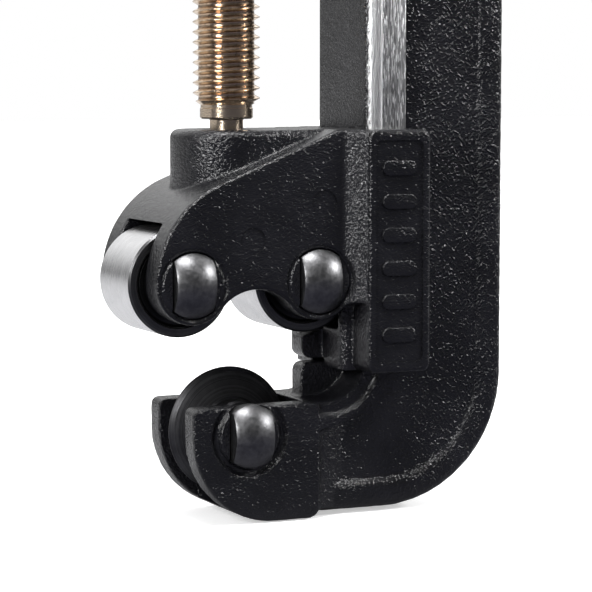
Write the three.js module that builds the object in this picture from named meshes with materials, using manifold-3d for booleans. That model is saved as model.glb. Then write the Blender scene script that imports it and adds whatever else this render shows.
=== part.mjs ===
// Screw-feed pipe cutter: a C-shaped frame carries a cutting wheel in its lower jaw and guides a slide
// with two rollers.  Turning the handle feeds the slide along the frame's rail and closes the throat.
// Millimetres, +Z up.  X runs from the open throat (-) to the spine (+), Y across the tool.
// Heights are counted from the wheel axis; the last lines move the origin to the centre of the footprint.

import * as THREE from "three";
import { mergeVertices } from "three/addons/utils/BufferGeometryUtils.js";
import Module from "manifold-3d";

const wasm = await Module();
wasm.setup();

// ---------------------------------------------------------------- driving dimensions

// lower jaw and cutting wheel
const WHEEL_R = 9.45;
const WHEEL_HUB_R = 4.8;
const WHEEL_HUB_HALF = 5.0;
const JAW_HALF = 9.05;
const JAW_LEFT = -9.0;
const JAW_BACK = 11.4;
const JAW_TOP = 4.4;
const JAW_BOTTOM = -13.0;
const JAW_SLOT_HALF = 5.1;
const JAW_SLOT_R = 11.0;
const JAW_EDGE = 0.8;
const JAW_ARC_R = -JAW_BOTTOM;
const JAW_CENTRE_X = JAW_LEFT + JAW_ARC_R;

// C-shaped spine
const SPINE_X = 43.2;
const SPINE_CORNER_R = 20.2;
const SPINE_BOTTOM = -12.5;
const WEB_HALF = 6.5;
const RIM_HALF = 7.2;
const RIM_WIDTH = 4.6;
const RIM_EDGE = 1.6;
const WEB_INSET = 1.0;

// rail that the slide runs on
const RAIL_FACE_X = 19.0;
const RAIL_SHOULDER_X = 21.2;
const RAIL_BACK_X = 25.3;
const RAIL_FACE_HALF = 8.2;
const RAIL_HALF = 9.3;
const THROAT_R = 6.0;

// upper arm
const ARM_UNDERSIDE = 79.0;
const ARM_TOP = 93.0;
const BOSS_R = 9.6;
const BOSS_BOTTOM = 75.0;
const BOSS_TOP = 93.6;
const BOSS_EDGE = 1.0;
const NUT_R = 7.0;
const NUT_BOTTOM = BOSS_BOTTOM + 1.5;
const NUT_FLANGE_R = 8.4;
const NUT_TOP = 94.8;

// nose plate on the frame and tongue plate on the slide, one above the other
const PLATE_HALF = 1.8;
const NOSE_LEFT = 11.4;
const NOSE_TOP = 9.6;
const NOSE_CORNER_R = 1.2;
const TONGUE_LEFT = 11.5;
const TONGUE_BOTTOM = 10.2;
const TONGUE_CORNER_R = 1.8;

// slide
const SLIDE_TOP = 45.1;
const SLIDE_BOTTOM = 8.9;
const COLLAR_BOSS_R = 8.45;
const SLIDE_EDGE = 0.5;
const HOUSING_HALF = 11.9;
const WINDOW_HALF = 7.05;
const WINDOW_R = 9.3;
const SHOULDER_LOW = 19.4;
const HOUSING_FOOT = 19.0;
const ROOF_SLOPE = 22.2;
const GUIDE_LEFT = 16.8;
const GUIDE_RIGHT = 27.0;
const GUIDE_HALF = 14.4;
const COLUMN_LEFT = 15.0;
const COLUMN_HALF = 8.8;

// rollers
const ROLLER_X = 10.0;
const ROLLER_Z = 22.8;
const ROLLER_R = 8.0;
const ROLLER_HALF = 6.3;
const ROLLER_BORE_R = 6.5;

// axles: round pins with a domed head that has two flats, and a ring groove at the far end
const AXLE_R = 3.0;
const HEAD_R = 4.7;
const HEAD_FLAT_HALF = 3.05;
const LOBE_R = 5.75;
const HEAD_POCKET_R = 5.25;
const HEAD_POCKET_DEPTH = 1.4;
const HEAD_RISE = 2.2;
const WHEEL_HEAD_LIFT = 0.7;
const ROLLER_HEAD_LIFT = 0.0;
const RING_GROOVE_R = 2.5;
const RING_GROOVE_HALF = 0.3;
const RING_R = 4.5;
const RING_HALF = 0.25;

// spindle, an M10 x 1.5 right-hand screw
const PITCH = 1.5;
const CREST_R = 5.0;
const ROOT_R = 4.15;
const COLLAR_R = 3.95;
const NECK_R = 2.5;
const COLLAR_BOTTOM = 46.6;
const COLLAR_TOP = 48.4;
const NECK_BOTTOM = 35.9;
const THREAD_TOP = 96.0;
const SPINDLE_TOP = 133.8;
const DRIVE_R = 4.2;
const DRIVE_FLAT_HALF = 3.3;
const KEEPER_Z = 40.5;
const KEEPER_X = 3.1;
const KEEPER_R = 1.0;
const KEEPER_NEAR = 5.4;

// handle
const HANDLE_BOTTOM = 96.5;
const HANDLE_TOP = 142.5;
const HANDLE_R = 16.2;
const HANDLE_FLUTES = 10;
const FLUTE_DEPTH = 1.5;
const CAP_R = 9.5;
const CAP_DEPTH = 2.0;
const SCREW_R = 2.0;
const SCREW_DEPTH = 9.0;
const SCREW_WELL_R = 7.0;
const WASHER_THICKNESS = 1.0;

// running gap on a diameter that turns, and seat gap between pieces that stay together
const RUNNING_GAP = 0.2;
const SEAT_GAP = 0.05;

// gap all round between the slide and the rail
const WAY_GAP = 0.3;

// how far a cutter runs past the surface it opens, and how far a piece is sunk into one it joins
const PAST = 1.0;
const SINK = 0.5;

// heights that follow from the ones above
const BALL_R = 2.4;
const BALL_Z = NECK_BOTTOM - SEAT_GAP - BALL_R;
const SOCKET_FLOOR = BALL_Z - BALL_R - SEAT_GAP;
const SHOULDER_Z = SPINDLE_TOP + 0.2;
const WASHER_LOW = SHOULDER_Z + SEAT_GAP;
const SCREW_SEAT = WASHER_LOW + WASHER_THICKNESS + SEAT_GAP;

// smoothness
const ROUND_SIDES = 36;
const PIN_SIDES = 20;
const THREAD_SIDES = 14;
const KEEPER_SIDES = 16;
const ARC_STEPS = 5;
const SMALL_ARC_STEPS = 2;

const TAU = 2 * Math.PI;
const QUARTER = Math.PI / 2;

// ---------------------------------------------------------------- solids

// Turns a closed geometry into a solid that can be joined and cut.
function solid(geometry) {
  const bare = geometry.clone();
  bare.deleteAttribute("normal");
  bare.deleteAttribute("uv");
  const merged = mergeVertices(bare, 1e-4);
  const index = merged.index.array;
  const corners = [];
  for (let i = 0; i < index.length; i += 3) {
    const [a, b, c] = [index[i], index[i + 1], index[i + 2]];
    if (a !== b && b !== c && c !== a) corners.push(a, b, c);
  }
  const mesh = new wasm.Mesh({
    numProp: 3,
    vertProperties: Float32Array.from(merged.attributes.position.array),
    triVerts: Uint32Array.from(corners),
  });
  return new wasm.Manifold(mesh);
}

function geometryOf(piece) {
  const mesh = piece.getMesh();
  const geometry = new THREE.BufferGeometry();
  geometry.setAttribute("position", new THREE.BufferAttribute(Float32Array.from(mesh.vertProperties), 3));
  geometry.setIndex(new THREE.BufferAttribute(Uint32Array.from(mesh.triVerts), 1));
  geometry.computeVertexNormals();
  return geometry;
}

function union(...pieces) {
  return pieces.reduce((whole, piece) => whole.add(piece));
}

function extrusion(outline, length, edge, arcSteps) {
  return new THREE.ExtrudeGeometry(outline, {
    depth: length - 2 * edge,
    bevelEnabled: edge > 0,
    bevelThickness: edge,
    bevelSize: edge,
    bevelOffset: -edge,
    bevelSegments: 1,
    curveSegments: arcSteps,
  });
}

// A plate whose outline lies in XZ, centred on Y = 0, with its edges broken by `edge`.
function plate(outline, half, edge = 0, arcSteps = 8) {
  const geometry = extrusion(outline, 2 * half, edge, arcSteps);
  geometry.rotateX(QUARTER);
  geometry.translate(0, half - edge, 0);
  return solid(geometry);
}

// A column whose outline lies in XY.
function column(outline, low, high, edge = 0, arcSteps = 8) {
  const geometry = extrusion(outline, high - low, edge, arcSteps);
  geometry.translate(0, 0, low + edge);
  return solid(geometry);
}

function outlineOf(points) {
  return new THREE.Shape(points.map(([u, v]) => new THREE.Vector2(u, v)));
}

function box(x0, x1, y0, y1, z0, z1) {
  const geometry = new THREE.BoxGeometry(x1 - x0, y1 - y0, z1 - z0);
  geometry.translate((x0 + x1) / 2, (y0 + y1) / 2, (z0 + z1) / 2);
  return solid(geometry);
}

// A round bar along Y through (x, z).
function barAcross(x, z, radius, y0, y1, sides = PIN_SIDES) {
  const geometry = new THREE.CylinderGeometry(radius, radius, y1 - y0, sides);
  geometry.translate(x, (y0 + y1) / 2, z);
  return solid(geometry);
}

// A round bar along the spindle axis.
function barUp(radius, low, high, sides = ROUND_SIDES) {
  const geometry = new THREE.CylinderGeometry(radius, radius, high - low, sides);
  geometry.rotateX(QUARTER);
  geometry.translate(0, 0, (low + high) / 2);
  return solid(geometry);
}

// A solid of revolution about Y; the profile is a list of [radius, y] that runs towards +Y on the outside.
function turned(profile, sides = ROUND_SIDES) {
  const points = profile.map(([radius, along]) => new THREE.Vector2(radius, along));
  return solid(new THREE.LatheGeometry(points, sides));
}

// A solid of revolution about the spindle axis; the profile, [radius, z], runs upwards on the outside.
function turnedUp(profile, sides = ROUND_SIDES) {
  const points = profile.map(([radius, height]) => new THREE.Vector2(radius, height));
  const geometry = new THREE.LatheGeometry(points, sides);
  geometry.rotateX(QUARTER);
  return solid(geometry);
}

// The rectangle x0..x1, z0..z1 with radius r at one of its left corners, "top" or "bottom".
function cornerPlate(x0, x1, z0, z1, r, corner) {
  const outline = new THREE.Shape();
  outline.moveTo(x1, z0);
  outline.lineTo(x1, z1);
  if (corner === "top") {
    outline.absarc(x0 + r, z1 - r, r, QUARTER, Math.PI, false);
    outline.lineTo(x0, z0);
  } else {
    outline.lineTo(x0, z1);
    outline.absarc(x0 + r, z0 + r, r, Math.PI, 3 * QUARTER, false);
  }
  return outline;
}

// ---------------------------------------------------------------- finishes

const BLACK_PAINT = { color: 0x1b1b1e, roughness: 0.45, metalness: 0.1 };
const DARK_STEEL = { color: 0x5a5a5c, roughness: 0.35, metalness: 0.9 };
const SPRING_STEEL = { color: 0x8a8a8c, roughness: 0.35, metalness: 1.0 };
const GROUND_STEEL = { color: 0xc8c9cb, roughness: 0.22, metalness: 1.0 };
const BLACK_OXIDE = { color: 0x2a2a2c, roughness: 0.4, metalness: 0.8 };
const YELLOW_ZINC = { color: 0xb39b78, roughness: 0.3, metalness: 1.0 };
const BRASS = { color: 0xb08d4f, roughness: 0.35, metalness: 1.0 };
const BLACK_PLASTIC = { color: 0x161618, roughness: 0.55, metalness: 0.0 };

function part(name, piece, finish) {
  const mesh = new THREE.Mesh(geometryOf(piece), new THREE.MeshStandardMaterial(finish));
  mesh.name = name;
  return mesh;
}

// ---------------------------------------------------------------- frame

// Outline of the thinner web of the C, from the back of the jaw round the spine to the upper arm.  Its
// outside stands back from the rim's face, so that only the rim shows there.
function frameOutline() {
  const arcX = SPINE_X - SPINE_CORNER_R;
  const arcR = SPINE_CORNER_R - WEB_INSET;
  const throatX = RAIL_FACE_X - THROAT_R;
  const outline = new THREE.Shape();
  outline.moveTo(JAW_BACK - PAST, JAW_TOP);
  outline.lineTo(JAW_BACK - PAST, SPINE_BOTTOM + WEB_INSET);
  outline.absarc(arcX, SPINE_BOTTOM + SPINE_CORNER_R, arcR, -QUARTER, 0, false);
  outline.absarc(arcX, ARM_TOP - SPINE_CORNER_R, arcR, 0, QUARTER, false);
  outline.lineTo(0, ARM_TOP - WEB_INSET);
  outline.lineTo(0, ARM_UNDERSIDE);
  outline.absarc(throatX, ARM_UNDERSIDE - THROAT_R, THROAT_R, QUARTER, 0, true);
  outline.absarc(throatX, JAW_TOP + THROAT_R, THROAT_R, 0, -QUARTER, true);
  return outline;
}

// The thicker rim that follows the outside of the C.
function rimOutline() {
  const arcX = SPINE_X - SPINE_CORNER_R;
  const low = SPINE_BOTTOM + SPINE_CORNER_R;
  const high = ARM_TOP - SPINE_CORNER_R;
  const inner = SPINE_CORNER_R - RIM_WIDTH;
  const outline = new THREE.Shape();
  outline.moveTo(JAW_BACK, SPINE_BOTTOM + RIM_WIDTH);
  outline.lineTo(JAW_BACK, SPINE_BOTTOM);
  outline.absarc(arcX, low, SPINE_CORNER_R, -QUARTER, 0, false);
  outline.absarc(arcX, high, SPINE_CORNER_R, 0, QUARTER, false);
  outline.lineTo(0, ARM_TOP);
  outline.lineTo(0, ARM_TOP - RIM_WIDTH);
  outline.absarc(arcX, high, inner, QUARTER, 0, true);
  outline.absarc(arcX, low, inner, 0, -QUARTER, true);
  return outline;
}

// Flange round the lower inside corner, from the top of the jaw up into the rail.  `inset` is how far
// its inner edge stands back from the throat.
function cornerFlangeOutline(inset) {
  const throatX = RAIL_FACE_X - THROAT_R;
  const throatZ = JAW_TOP + THROAT_R;
  const thickness = 4.2;
  const outerR = 12.0;
  const outerX = 10.2;
  const start = outerX - 0.5;
  const outline = new THREE.Shape();
  outline.moveTo(start, JAW_TOP - inset);
  outline.lineTo(start, JAW_TOP - thickness);
  outline.absarc(outerX, JAW_TOP - thickness + outerR, outerR, -QUARTER, 0, false);
  outline.lineTo(RAIL_BACK_X, throatZ + outerR / 2);
  outline.lineTo(RAIL_FACE_X + inset, throatZ + outerR / 2);
  outline.absarc(throatX, throatZ, THROAT_R + inset, 0, -QUARTER, true);
  return outline;
}

// Flange round the upper inside corner, from the rail to the end of the arm.
function armFlangeOutline(inset) {
  const throatX = RAIL_FACE_X - THROAT_R;
  const throatZ = ARM_UNDERSIDE - THROAT_R;
  const thickness = RAIL_BACK_X - RAIL_FACE_X;
  const outline = new THREE.Shape();
  outline.moveTo(RAIL_FACE_X + inset, throatZ - 1);
  outline.lineTo(RAIL_BACK_X, throatZ - 1);
  outline.absarc(throatX, throatZ, THROAT_R + thickness, 0, QUARTER, false);
  outline.lineTo(0, ARM_UNDERSIDE + thickness);
  outline.lineTo(0, ARM_UNDERSIDE + inset);
  outline.absarc(throatX, throatZ, THROAT_R + inset, QUARTER, 0, true);
  return outline;
}

// Both corner flanges narrow towards the throat, as the rail does.
function flanges() {
  const shoulder = RAIL_SHOULDER_X - RAIL_FACE_X;
  return union(
    plate(cornerFlangeOutline(0), RAIL_FACE_HALF, 0, ARC_STEPS),
    plate(cornerFlangeOutline(shoulder), JAW_HALF, 0, ARC_STEPS),
    plate(armFlangeOutline(0), RAIL_FACE_HALF, 0, ARC_STEPS),
    plate(armFlangeOutline(shoulder), JAW_HALF, 0, ARC_STEPS),
  );
}

function railOutline() {
  return outlineOf([
    [RAIL_FACE_X, -RAIL_FACE_HALF],
    [RAIL_SHOULDER_X, -RAIL_HALF],
    [RAIL_BACK_X, -RAIL_HALF],
    [RAIL_BACK_X, RAIL_HALF],
    [RAIL_SHOULDER_X, RAIL_HALF],
    [RAIL_FACE_X, RAIL_FACE_HALF],
  ]);
}

function jawOutline() {
  const corner = 1.2;
  const heel = 1.8;
  const outline = new THREE.Shape();
  outline.moveTo(JAW_LEFT, 0);
  outline.absarc(JAW_CENTRE_X, 0, JAW_ARC_R, Math.PI, 3 * QUARTER, false);
  outline.absarc(JAW_BACK - heel, JAW_BOTTOM + heel, heel, -QUARTER, 0, false);
  outline.lineTo(JAW_BACK, JAW_TOP);
  outline.absarc(JAW_LEFT + corner, JAW_TOP - corner, corner, QUARTER, Math.PI, false);
  return outline;
}

// Concave blend from the wide jaw down to the web, on both sides.
function jawBlend() {
  const reach = 5.2;
  const steps = 4;
  const bottom = SPINE_BOTTOM + JAW_EDGE;
  const top = JAW_TOP - 3.5;
  const near = [];
  for (let i = 0; i <= steps; i += 1) {
    const along = Math.sin((i / steps) * QUARTER);
    const x = JAW_BACK - SINK + reach * along;
    const half = WEB_HALF - SEAT_GAP + (JAW_HALF - JAW_EDGE - WEB_HALF) * (1 - along);
    near.push([x, half]);
  }
  const far = near.map(([x, half]) => [x, -half]).reverse();
  return column(outlineOf([...far, ...near]), bottom, top);
}

// The slot that the wheel turns in: round about the wheel axis and open towards the throat.
function jawSlot() {
  const round = barAcross(0, 0, JAW_SLOT_R, -JAW_SLOT_HALF, JAW_SLOT_HALF, ROUND_SIDES);
  const mouth = box(JAW_LEFT - PAST, 0, -JAW_SLOT_HALF, JAW_SLOT_HALF, -JAW_SLOT_R, JAW_TOP + PAST);
  return round.add(mouth);
}

// Everything that is cut away for one axle in a pair of cheeks: bore, head pocket and ring pocket.
// Two raised segments stay in the head pocket; they hold the flats of the head.
function axleSeat(x, z, cheekHalf) {
  const floor = cheekHalf - HEAD_POCKET_DEPTH;
  const outside = cheekHalf + PAST;
  const segmentFace = cheekHalf - 0.2;
  const segmentR = HEAD_POCKET_R - 0.4;
  const gate = HEAD_FLAT_HALF + RUNNING_GAP;
  const bore = barAcross(x, z, AXLE_R + RUNNING_GAP / 2, -outside, outside);
  const headPocket = barAcross(x, z, HEAD_POCKET_R, -outside, -floor);
  const ringPocket = barAcross(x, z, HEAD_POCKET_R, floor, outside);
  const disc = barAcross(x, z, segmentR, -segmentFace, -floor + PAST);
  const opening = box(x - gate, x + gate, -outside, -floor + 2 * PAST, z - LOBE_R, z + LOBE_R);
  const segments = disc.subtract(opening);
  return union(bore, headPocket.subtract(segments), ringPocket);
}

function upperBoss() {
  return turnedUp([
    [0, BOSS_BOTTOM],
    [BOSS_R - BOSS_EDGE, BOSS_BOTTOM],
    [BOSS_R, BOSS_BOTTOM + BOSS_EDGE],
    [BOSS_R, BOSS_TOP - BOSS_EDGE],
    [BOSS_R - BOSS_EDGE, BOSS_TOP],
    [0, BOSS_TOP],
  ]);
}

function frame() {
  const web = plate(frameOutline(), WEB_HALF, 0, ARC_STEPS);
  const rim = plate(rimOutline(), RIM_HALF, RIM_EDGE, ARC_STEPS);
  const rail = column(railOutline(), JAW_TOP + THROAT_R, ARM_UNDERSIDE - THROAT_R);
  const [noseRight, noseLow] = [RAIL_FACE_X + PAST, JAW_TOP - PAST];
  const noseOutline = cornerPlate(NOSE_LEFT, noseRight, noseLow, NOSE_TOP, NOSE_CORNER_R, "top");
  const nose = plate(noseOutline, PLATE_HALF, 0, SMALL_ARC_STEPS);
  const jaw = plate(jawOutline(), JAW_HALF, JAW_EDGE, ARC_STEPS);
  const body = union(web, rim, flanges(), rail, nose, jaw, jawBlend(), upperBoss());
  const spindleClearance = 0.6;
  const nutBore = barUp(NUT_R + SEAT_GAP, NUT_BOTTOM, BOSS_TOP + PAST);
  const clearBore = barUp(CREST_R + spindleClearance, BOSS_BOTTOM - PAST, NUT_BOTTOM + PAST);
  return body.subtract(union(jawSlot(), axleSeat(0, 0, JAW_HALF), nutBore, clearBore));
}

// Bush pressed into the upper arm; the spindle screws through it.
function spindleNut() {
  const chamfer = 0.4;
  return turnedUp([
    [CREST_R + RUNNING_GAP, NUT_BOTTOM + SEAT_GAP],
    [NUT_R, NUT_BOTTOM + SEAT_GAP],
    [NUT_R, BOSS_TOP + SEAT_GAP],
    [NUT_FLANGE_R, BOSS_TOP + SEAT_GAP],
    [NUT_FLANGE_R, NUT_TOP - chamfer],
    [NUT_FLANGE_R - chamfer, NUT_TOP],
    [CREST_R + RUNNING_GAP, NUT_TOP],
    [CREST_R + RUNNING_GAP, NUT_BOTTOM + SEAT_GAP],
  ]);
}

// ---------------------------------------------------------------- cutting wheel, axles and rings

function cuttingWheel() {
  const edge = 0.04;
  const bevelR = WHEEL_R - 0.7;
  const bevelHalf = 0.45;
  const flankR = 5.2;
  const flankHalf = 1.95;
  const bore = AXLE_R + RUNNING_GAP;
  return turned([
    [bore, -WHEEL_HUB_HALF],
    [WHEEL_HUB_R, -WHEEL_HUB_HALF],
    [WHEEL_HUB_R, -flankHalf],
    [flankR, -flankHalf],
    [bevelR, -bevelHalf],
    [WHEEL_R, -edge],
    [WHEEL_R, edge],
    [bevelR, bevelHalf],
    [flankR, flankHalf],
    [WHEEL_HUB_R, flankHalf],
    [WHEEL_HUB_R, WHEEL_HUB_HALF],
    [bore, WHEEL_HUB_HALF],
    [bore, -WHEEL_HUB_HALF],
  ]);
}

// Where the ring groove sits on an axle, measured from the middle of the tool.
function grooveAt(cheekHalf) {
  return cheekHalf - HEAD_POCKET_DEPTH + 0.5;
}

// Axle with a domed head at -Y.  The rim of the dome stands `lift` above the cheek and its crown `rise` more.
function axle(x, z, cheekHalf, lift, rise) {
  const sphereR = (HEAD_R * HEAD_R + rise * rise) / (2 * rise);
  const rimY = -cheekHalf - lift;
  const steps = 3;
  const dome = [];
  for (let i = 0; i <= steps; i += 1) {
    const radius = (HEAD_R * i) / steps;
    dome.push([radius, rimY - rise + sphereR - Math.sqrt(sphereR * sphereR - radius * radius)]);
  }
  const seat = -cheekHalf + HEAD_POCKET_DEPTH - SEAT_GAP;
  const groove = grooveAt(cheekHalf);
  const end = groove + 1.1;
  const pin = turned([
    ...dome,
    [HEAD_R, seat],
    [AXLE_R, seat],
    [AXLE_R, groove - RING_GROOVE_HALF],
    [RING_GROOVE_R, groove - RING_GROOVE_HALF],
    [RING_GROOVE_R, groove + RING_GROOVE_HALF],
    [AXLE_R, groove + RING_GROOVE_HALF],
    [AXLE_R, end],
    [0, end],
  ], PIN_SIDES);
  const far = 2 * cheekHalf;
  const flats = box(-HEAD_FLAT_HALF, HEAD_FLAT_HALF, -far, far, -HEAD_R - 1, HEAD_R + 1);
  return pin.intersect(flats).translate([x, 0, z]);
}

// Open spring ring that snaps into the groove of an axle; its gap faces down.
function axleRing(x, z, cheekHalf) {
  const inner = RING_GROOVE_R + RUNNING_GAP / 2;
  const halfGap = 0.6;
  const arcSteps = 9;
  const outline = new THREE.Shape();
  outline.absarc(0, 0, RING_R, -QUARTER + halfGap, 3 * QUARTER - halfGap, false);
  outline.absarc(0, 0, inner, 3 * QUARTER - halfGap, -QUARTER + halfGap, true);
  return plate(outline, RING_HALF, 0, arcSteps).translate([x, grooveAt(cheekHalf), z]);
}

// ---------------------------------------------------------------- rollers

function rollerSleeve(x) {
  const chamfer = 0.35;
  return turned([
    [ROLLER_BORE_R, -ROLLER_HALF],
    [ROLLER_R - chamfer, -ROLLER_HALF],
    [ROLLER_R, -ROLLER_HALF + chamfer],
    [ROLLER_R, ROLLER_HALF - chamfer],
    [ROLLER_R - chamfer, ROLLER_HALF],
    [ROLLER_BORE_R, ROLLER_HALF],
    [ROLLER_BORE_R, -ROLLER_HALF],
  ]).translate([x, 0, ROLLER_Z]);
}

// Bearing bush inside a sleeve; its hub keeps the roller off the cheeks.
function rollerBush(x) {
  const outer = ROLLER_BORE_R - SEAT_GAP;
  const face = ROLLER_HALF - 0.5;
  const hubR = 4.4;
  const hubFace = WINDOW_HALF - RUNNING_GAP;
  const bore = AXLE_R + RUNNING_GAP;
  return turned([
    [bore, -hubFace],
    [hubR, -hubFace],
    [hubR, -face],
    [outer, -face],
    [outer, face],
    [hubR, face],
    [hubR, hubFace],
    [bore, hubFace],
    [bore, -hubFace],
  ], PIN_SIDES).translate([x, 0, ROLLER_Z]);
}

// ---------------------------------------------------------------- slide

// Side view of the roller housing: a roof arc about the middle of the rollers, a straight slope up to
// the slide's top, a lobe round each axle and a tube-shaped hollow between the lobes.
function housingOutline() {
  const slope = THREE.MathUtils.degToRad(ROOF_SLOPE);
  const roofR = ROLLER_X + LOBE_R;
  const slopeX = -roofR * Math.sin(slope);
  const slopeZ = ROLLER_Z + roofR * Math.cos(slope);
  const ridgeX = slopeX + (SLIDE_TOP - slopeZ) / Math.tan(slope);
  const drop = 7.9;
  const away = Math.atan2(drop, ROLLER_X);
  const hollowR = Math.hypot(drop, ROLLER_X) - LOBE_R;
  const footAngle = Math.asin((ROLLER_Z - HOUSING_FOOT) / LOBE_R);
  const outline = new THREE.Shape();
  outline.moveTo(GUIDE_LEFT + SINK, SLIDE_TOP);
  outline.lineTo(ridgeX, SLIDE_TOP);
  outline.absarc(0, ROLLER_Z, roofR, QUARTER + slope, Math.PI, false);
  outline.absarc(-ROLLER_X, ROLLER_Z, LOBE_R, Math.PI, TAU - away, false);
  outline.absarc(0, ROLLER_Z - drop, hollowR, Math.PI - away, away, true);
  outline.absarc(ROLLER_X, ROLLER_Z, LOBE_R, Math.PI + away, TAU - footAngle, false);
  outline.lineTo(GUIDE_LEFT + SINK, HOUSING_FOOT);
  return outline;
}

// Plan view of the boss over the spindle's lower end and of the slab that ties it to the guide.
function collarBoss() {
  const edge = 0.7;
  const outline = new THREE.Shape();
  outline.moveTo(GUIDE_LEFT + SINK, -COLLAR_BOSS_R);
  outline.lineTo(GUIDE_LEFT + SINK, COLLAR_BOSS_R);
  outline.absarc(0, 0, COLLAR_BOSS_R, QUARTER, 3 * QUARTER, false);
  return column(outline, ROLLER_Z + WINDOW_R - PAST, SLIDE_TOP, edge);
}

// Sloping cheek from the roller housing out to the guide.
function shoulder() {
  const start = 13.9;
  const end = GUIDE_LEFT + 0.3;
  const startHalf = HOUSING_HALF - 0.1;
  const endHalf = GUIDE_HALF - 0.7;
  const outline = outlineOf([
    [start - PAST, -startHalf],
    [start, -startHalf],
    [end, -endHalf],
    [end, endHalf],
    [start, startHalf],
    [start - PAST, startHalf],
  ]);
  return column(outline, SHOULDER_LOW, SLIDE_TOP - SINK);
}

function guideBlock() {
  const r = 1.3;
  const outline = new THREE.Shape();
  outline.moveTo(GUIDE_LEFT + r, SLIDE_BOTTOM);
  outline.absarc(GUIDE_RIGHT - r, SLIDE_BOTTOM + r, r, -QUARTER, 0, false);
  outline.absarc(GUIDE_RIGHT - r, SLIDE_TOP - r, r, 0, QUARTER, false);
  outline.lineTo(GUIDE_LEFT, SLIDE_TOP);
  outline.absarc(GUIDE_LEFT + r, SLIDE_BOTTOM + r, r, Math.PI, 3 * QUARTER, false);
  return plate(outline, GUIDE_HALF, SLIDE_EDGE, SMALL_ARC_STEPS);
}

function frontColumn() {
  const r = 1.6;
  const right = GUIDE_LEFT + PAST;
  const outline = new THREE.Shape();
  outline.moveTo(right, -COLUMN_HALF);
  outline.lineTo(right, COLUMN_HALF);
  outline.absarc(COLUMN_LEFT + r, COLUMN_HALF - r, r, QUARTER, Math.PI, false);
  outline.absarc(COLUMN_LEFT + r, -COLUMN_HALF + r, r, Math.PI, 3 * QUARTER, false);
  return column(outline, SLIDE_BOTTOM, ROLLER_Z, 0, SMALL_ARC_STEPS);
}

// The T-shaped way that wraps round the rail, open at the back for the web.
function railWay() {
  const lipHalf = WEB_HALF + 0.7;
  const faceX = RAIL_FACE_X - WAY_GAP;
  const shoulderX = RAIL_SHOULDER_X - WAY_GAP;
  const backX = RAIL_BACK_X + WAY_GAP;
  const faceHalf = RAIL_FACE_HALF + WAY_GAP;
  const wayHalf = RAIL_HALF + WAY_GAP;
  const outside = GUIDE_RIGHT + PAST;
  const outline = outlineOf([
    [faceX, -faceHalf],
    [shoulderX, -wayHalf],
    [backX, -wayHalf],
    [backX, -lipHalf],
    [outside, -lipHalf],
    [outside, lipHalf],
    [backX, lipHalf],
    [backX, wayHalf],
    [shoulderX, wayHalf],
    [faceX, faceHalf],
  ]);
  return column(outline, SLIDE_BOTTOM - PAST, SLIDE_TOP + PAST);
}

// Relief under the front wall, so that it clears the round throat corner and the nose plate.
function throatRelief() {
  const below = SLIDE_BOTTOM - PAST;
  const top = SLIDE_BOTTOM + 1.5;
  const halfOverNose = PLATE_HALF + 0.4;
  const wedge = outlineOf([
    [RAIL_FACE_X - 1.8, below],
    [RAIL_FACE_X, below],
    [RAIL_FACE_X, top],
    [RAIL_FACE_X - 0.4, top],
  ]);
  const overNose = box(COLUMN_LEFT - PAST, RAIL_FACE_X, -halfOverNose, halfOverNose, below, TONGUE_BOTTOM);
  return plate(wedge, RAIL_HALF).add(overNose);
}

// Blind bore for the spindle's neck, and the cross hole for its keeper pin, open at the rear.
function spindleSocket() {
  const bore = barUp(NECK_R + RUNNING_GAP, SOCKET_FLOOR, SLIDE_TOP + PAST, PIN_SIDES);
  const crossR = KEEPER_R + SEAT_GAP;
  const cross = barAcross(KEEPER_X, KEEPER_Z, crossR, -KEEPER_NEAR, COLLAR_BOSS_R + PAST, KEEPER_SIDES);
  return bore.add(cross);
}

function slide() {
  const housing = plate(housingOutline(), HOUSING_HALF, SLIDE_EDGE, ARC_STEPS);
  const right = COLUMN_LEFT + PAST;
  const tongueOutline = cornerPlate(TONGUE_LEFT, right, TONGUE_BOTTOM, ROLLER_Z, TONGUE_CORNER_R, "bottom");
  const tongue = plate(tongueOutline, PLATE_HALF, 0, SMALL_ARC_STEPS);
  const body = union(housing, collarBoss(), shoulder(), guideBlock(), frontColumn(), tongue);
  const windows = [-ROLLER_X, ROLLER_X].map((x) =>
    barAcross(x, ROLLER_Z, WINDOW_R, -WINDOW_HALF, WINDOW_HALF, ROUND_SIDES));
  const seats = [-ROLLER_X, ROLLER_X].map((x) => axleSeat(x, ROLLER_Z, HOUSING_HALF));
  return body.subtract(union(...windows, ...seats, railWay(), throatRelief(), spindleSocket()));
}

function thrustBall() {
  const geometry = new THREE.SphereGeometry(BALL_R, 12, 8);
  geometry.rotateX(QUARTER);
  geometry.translate(0, 0, BALL_Z);
  return solid(geometry);
}

function keeperPin() {
  const near = -KEEPER_NEAR + RUNNING_GAP;
  const far = COLLAR_BOSS_R - 0.4;
  return barAcross(KEEPER_X, KEEPER_Z, KEEPER_R, near, far, KEEPER_SIDES);
}

// ---------------------------------------------------------------- spindle and handle

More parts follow.
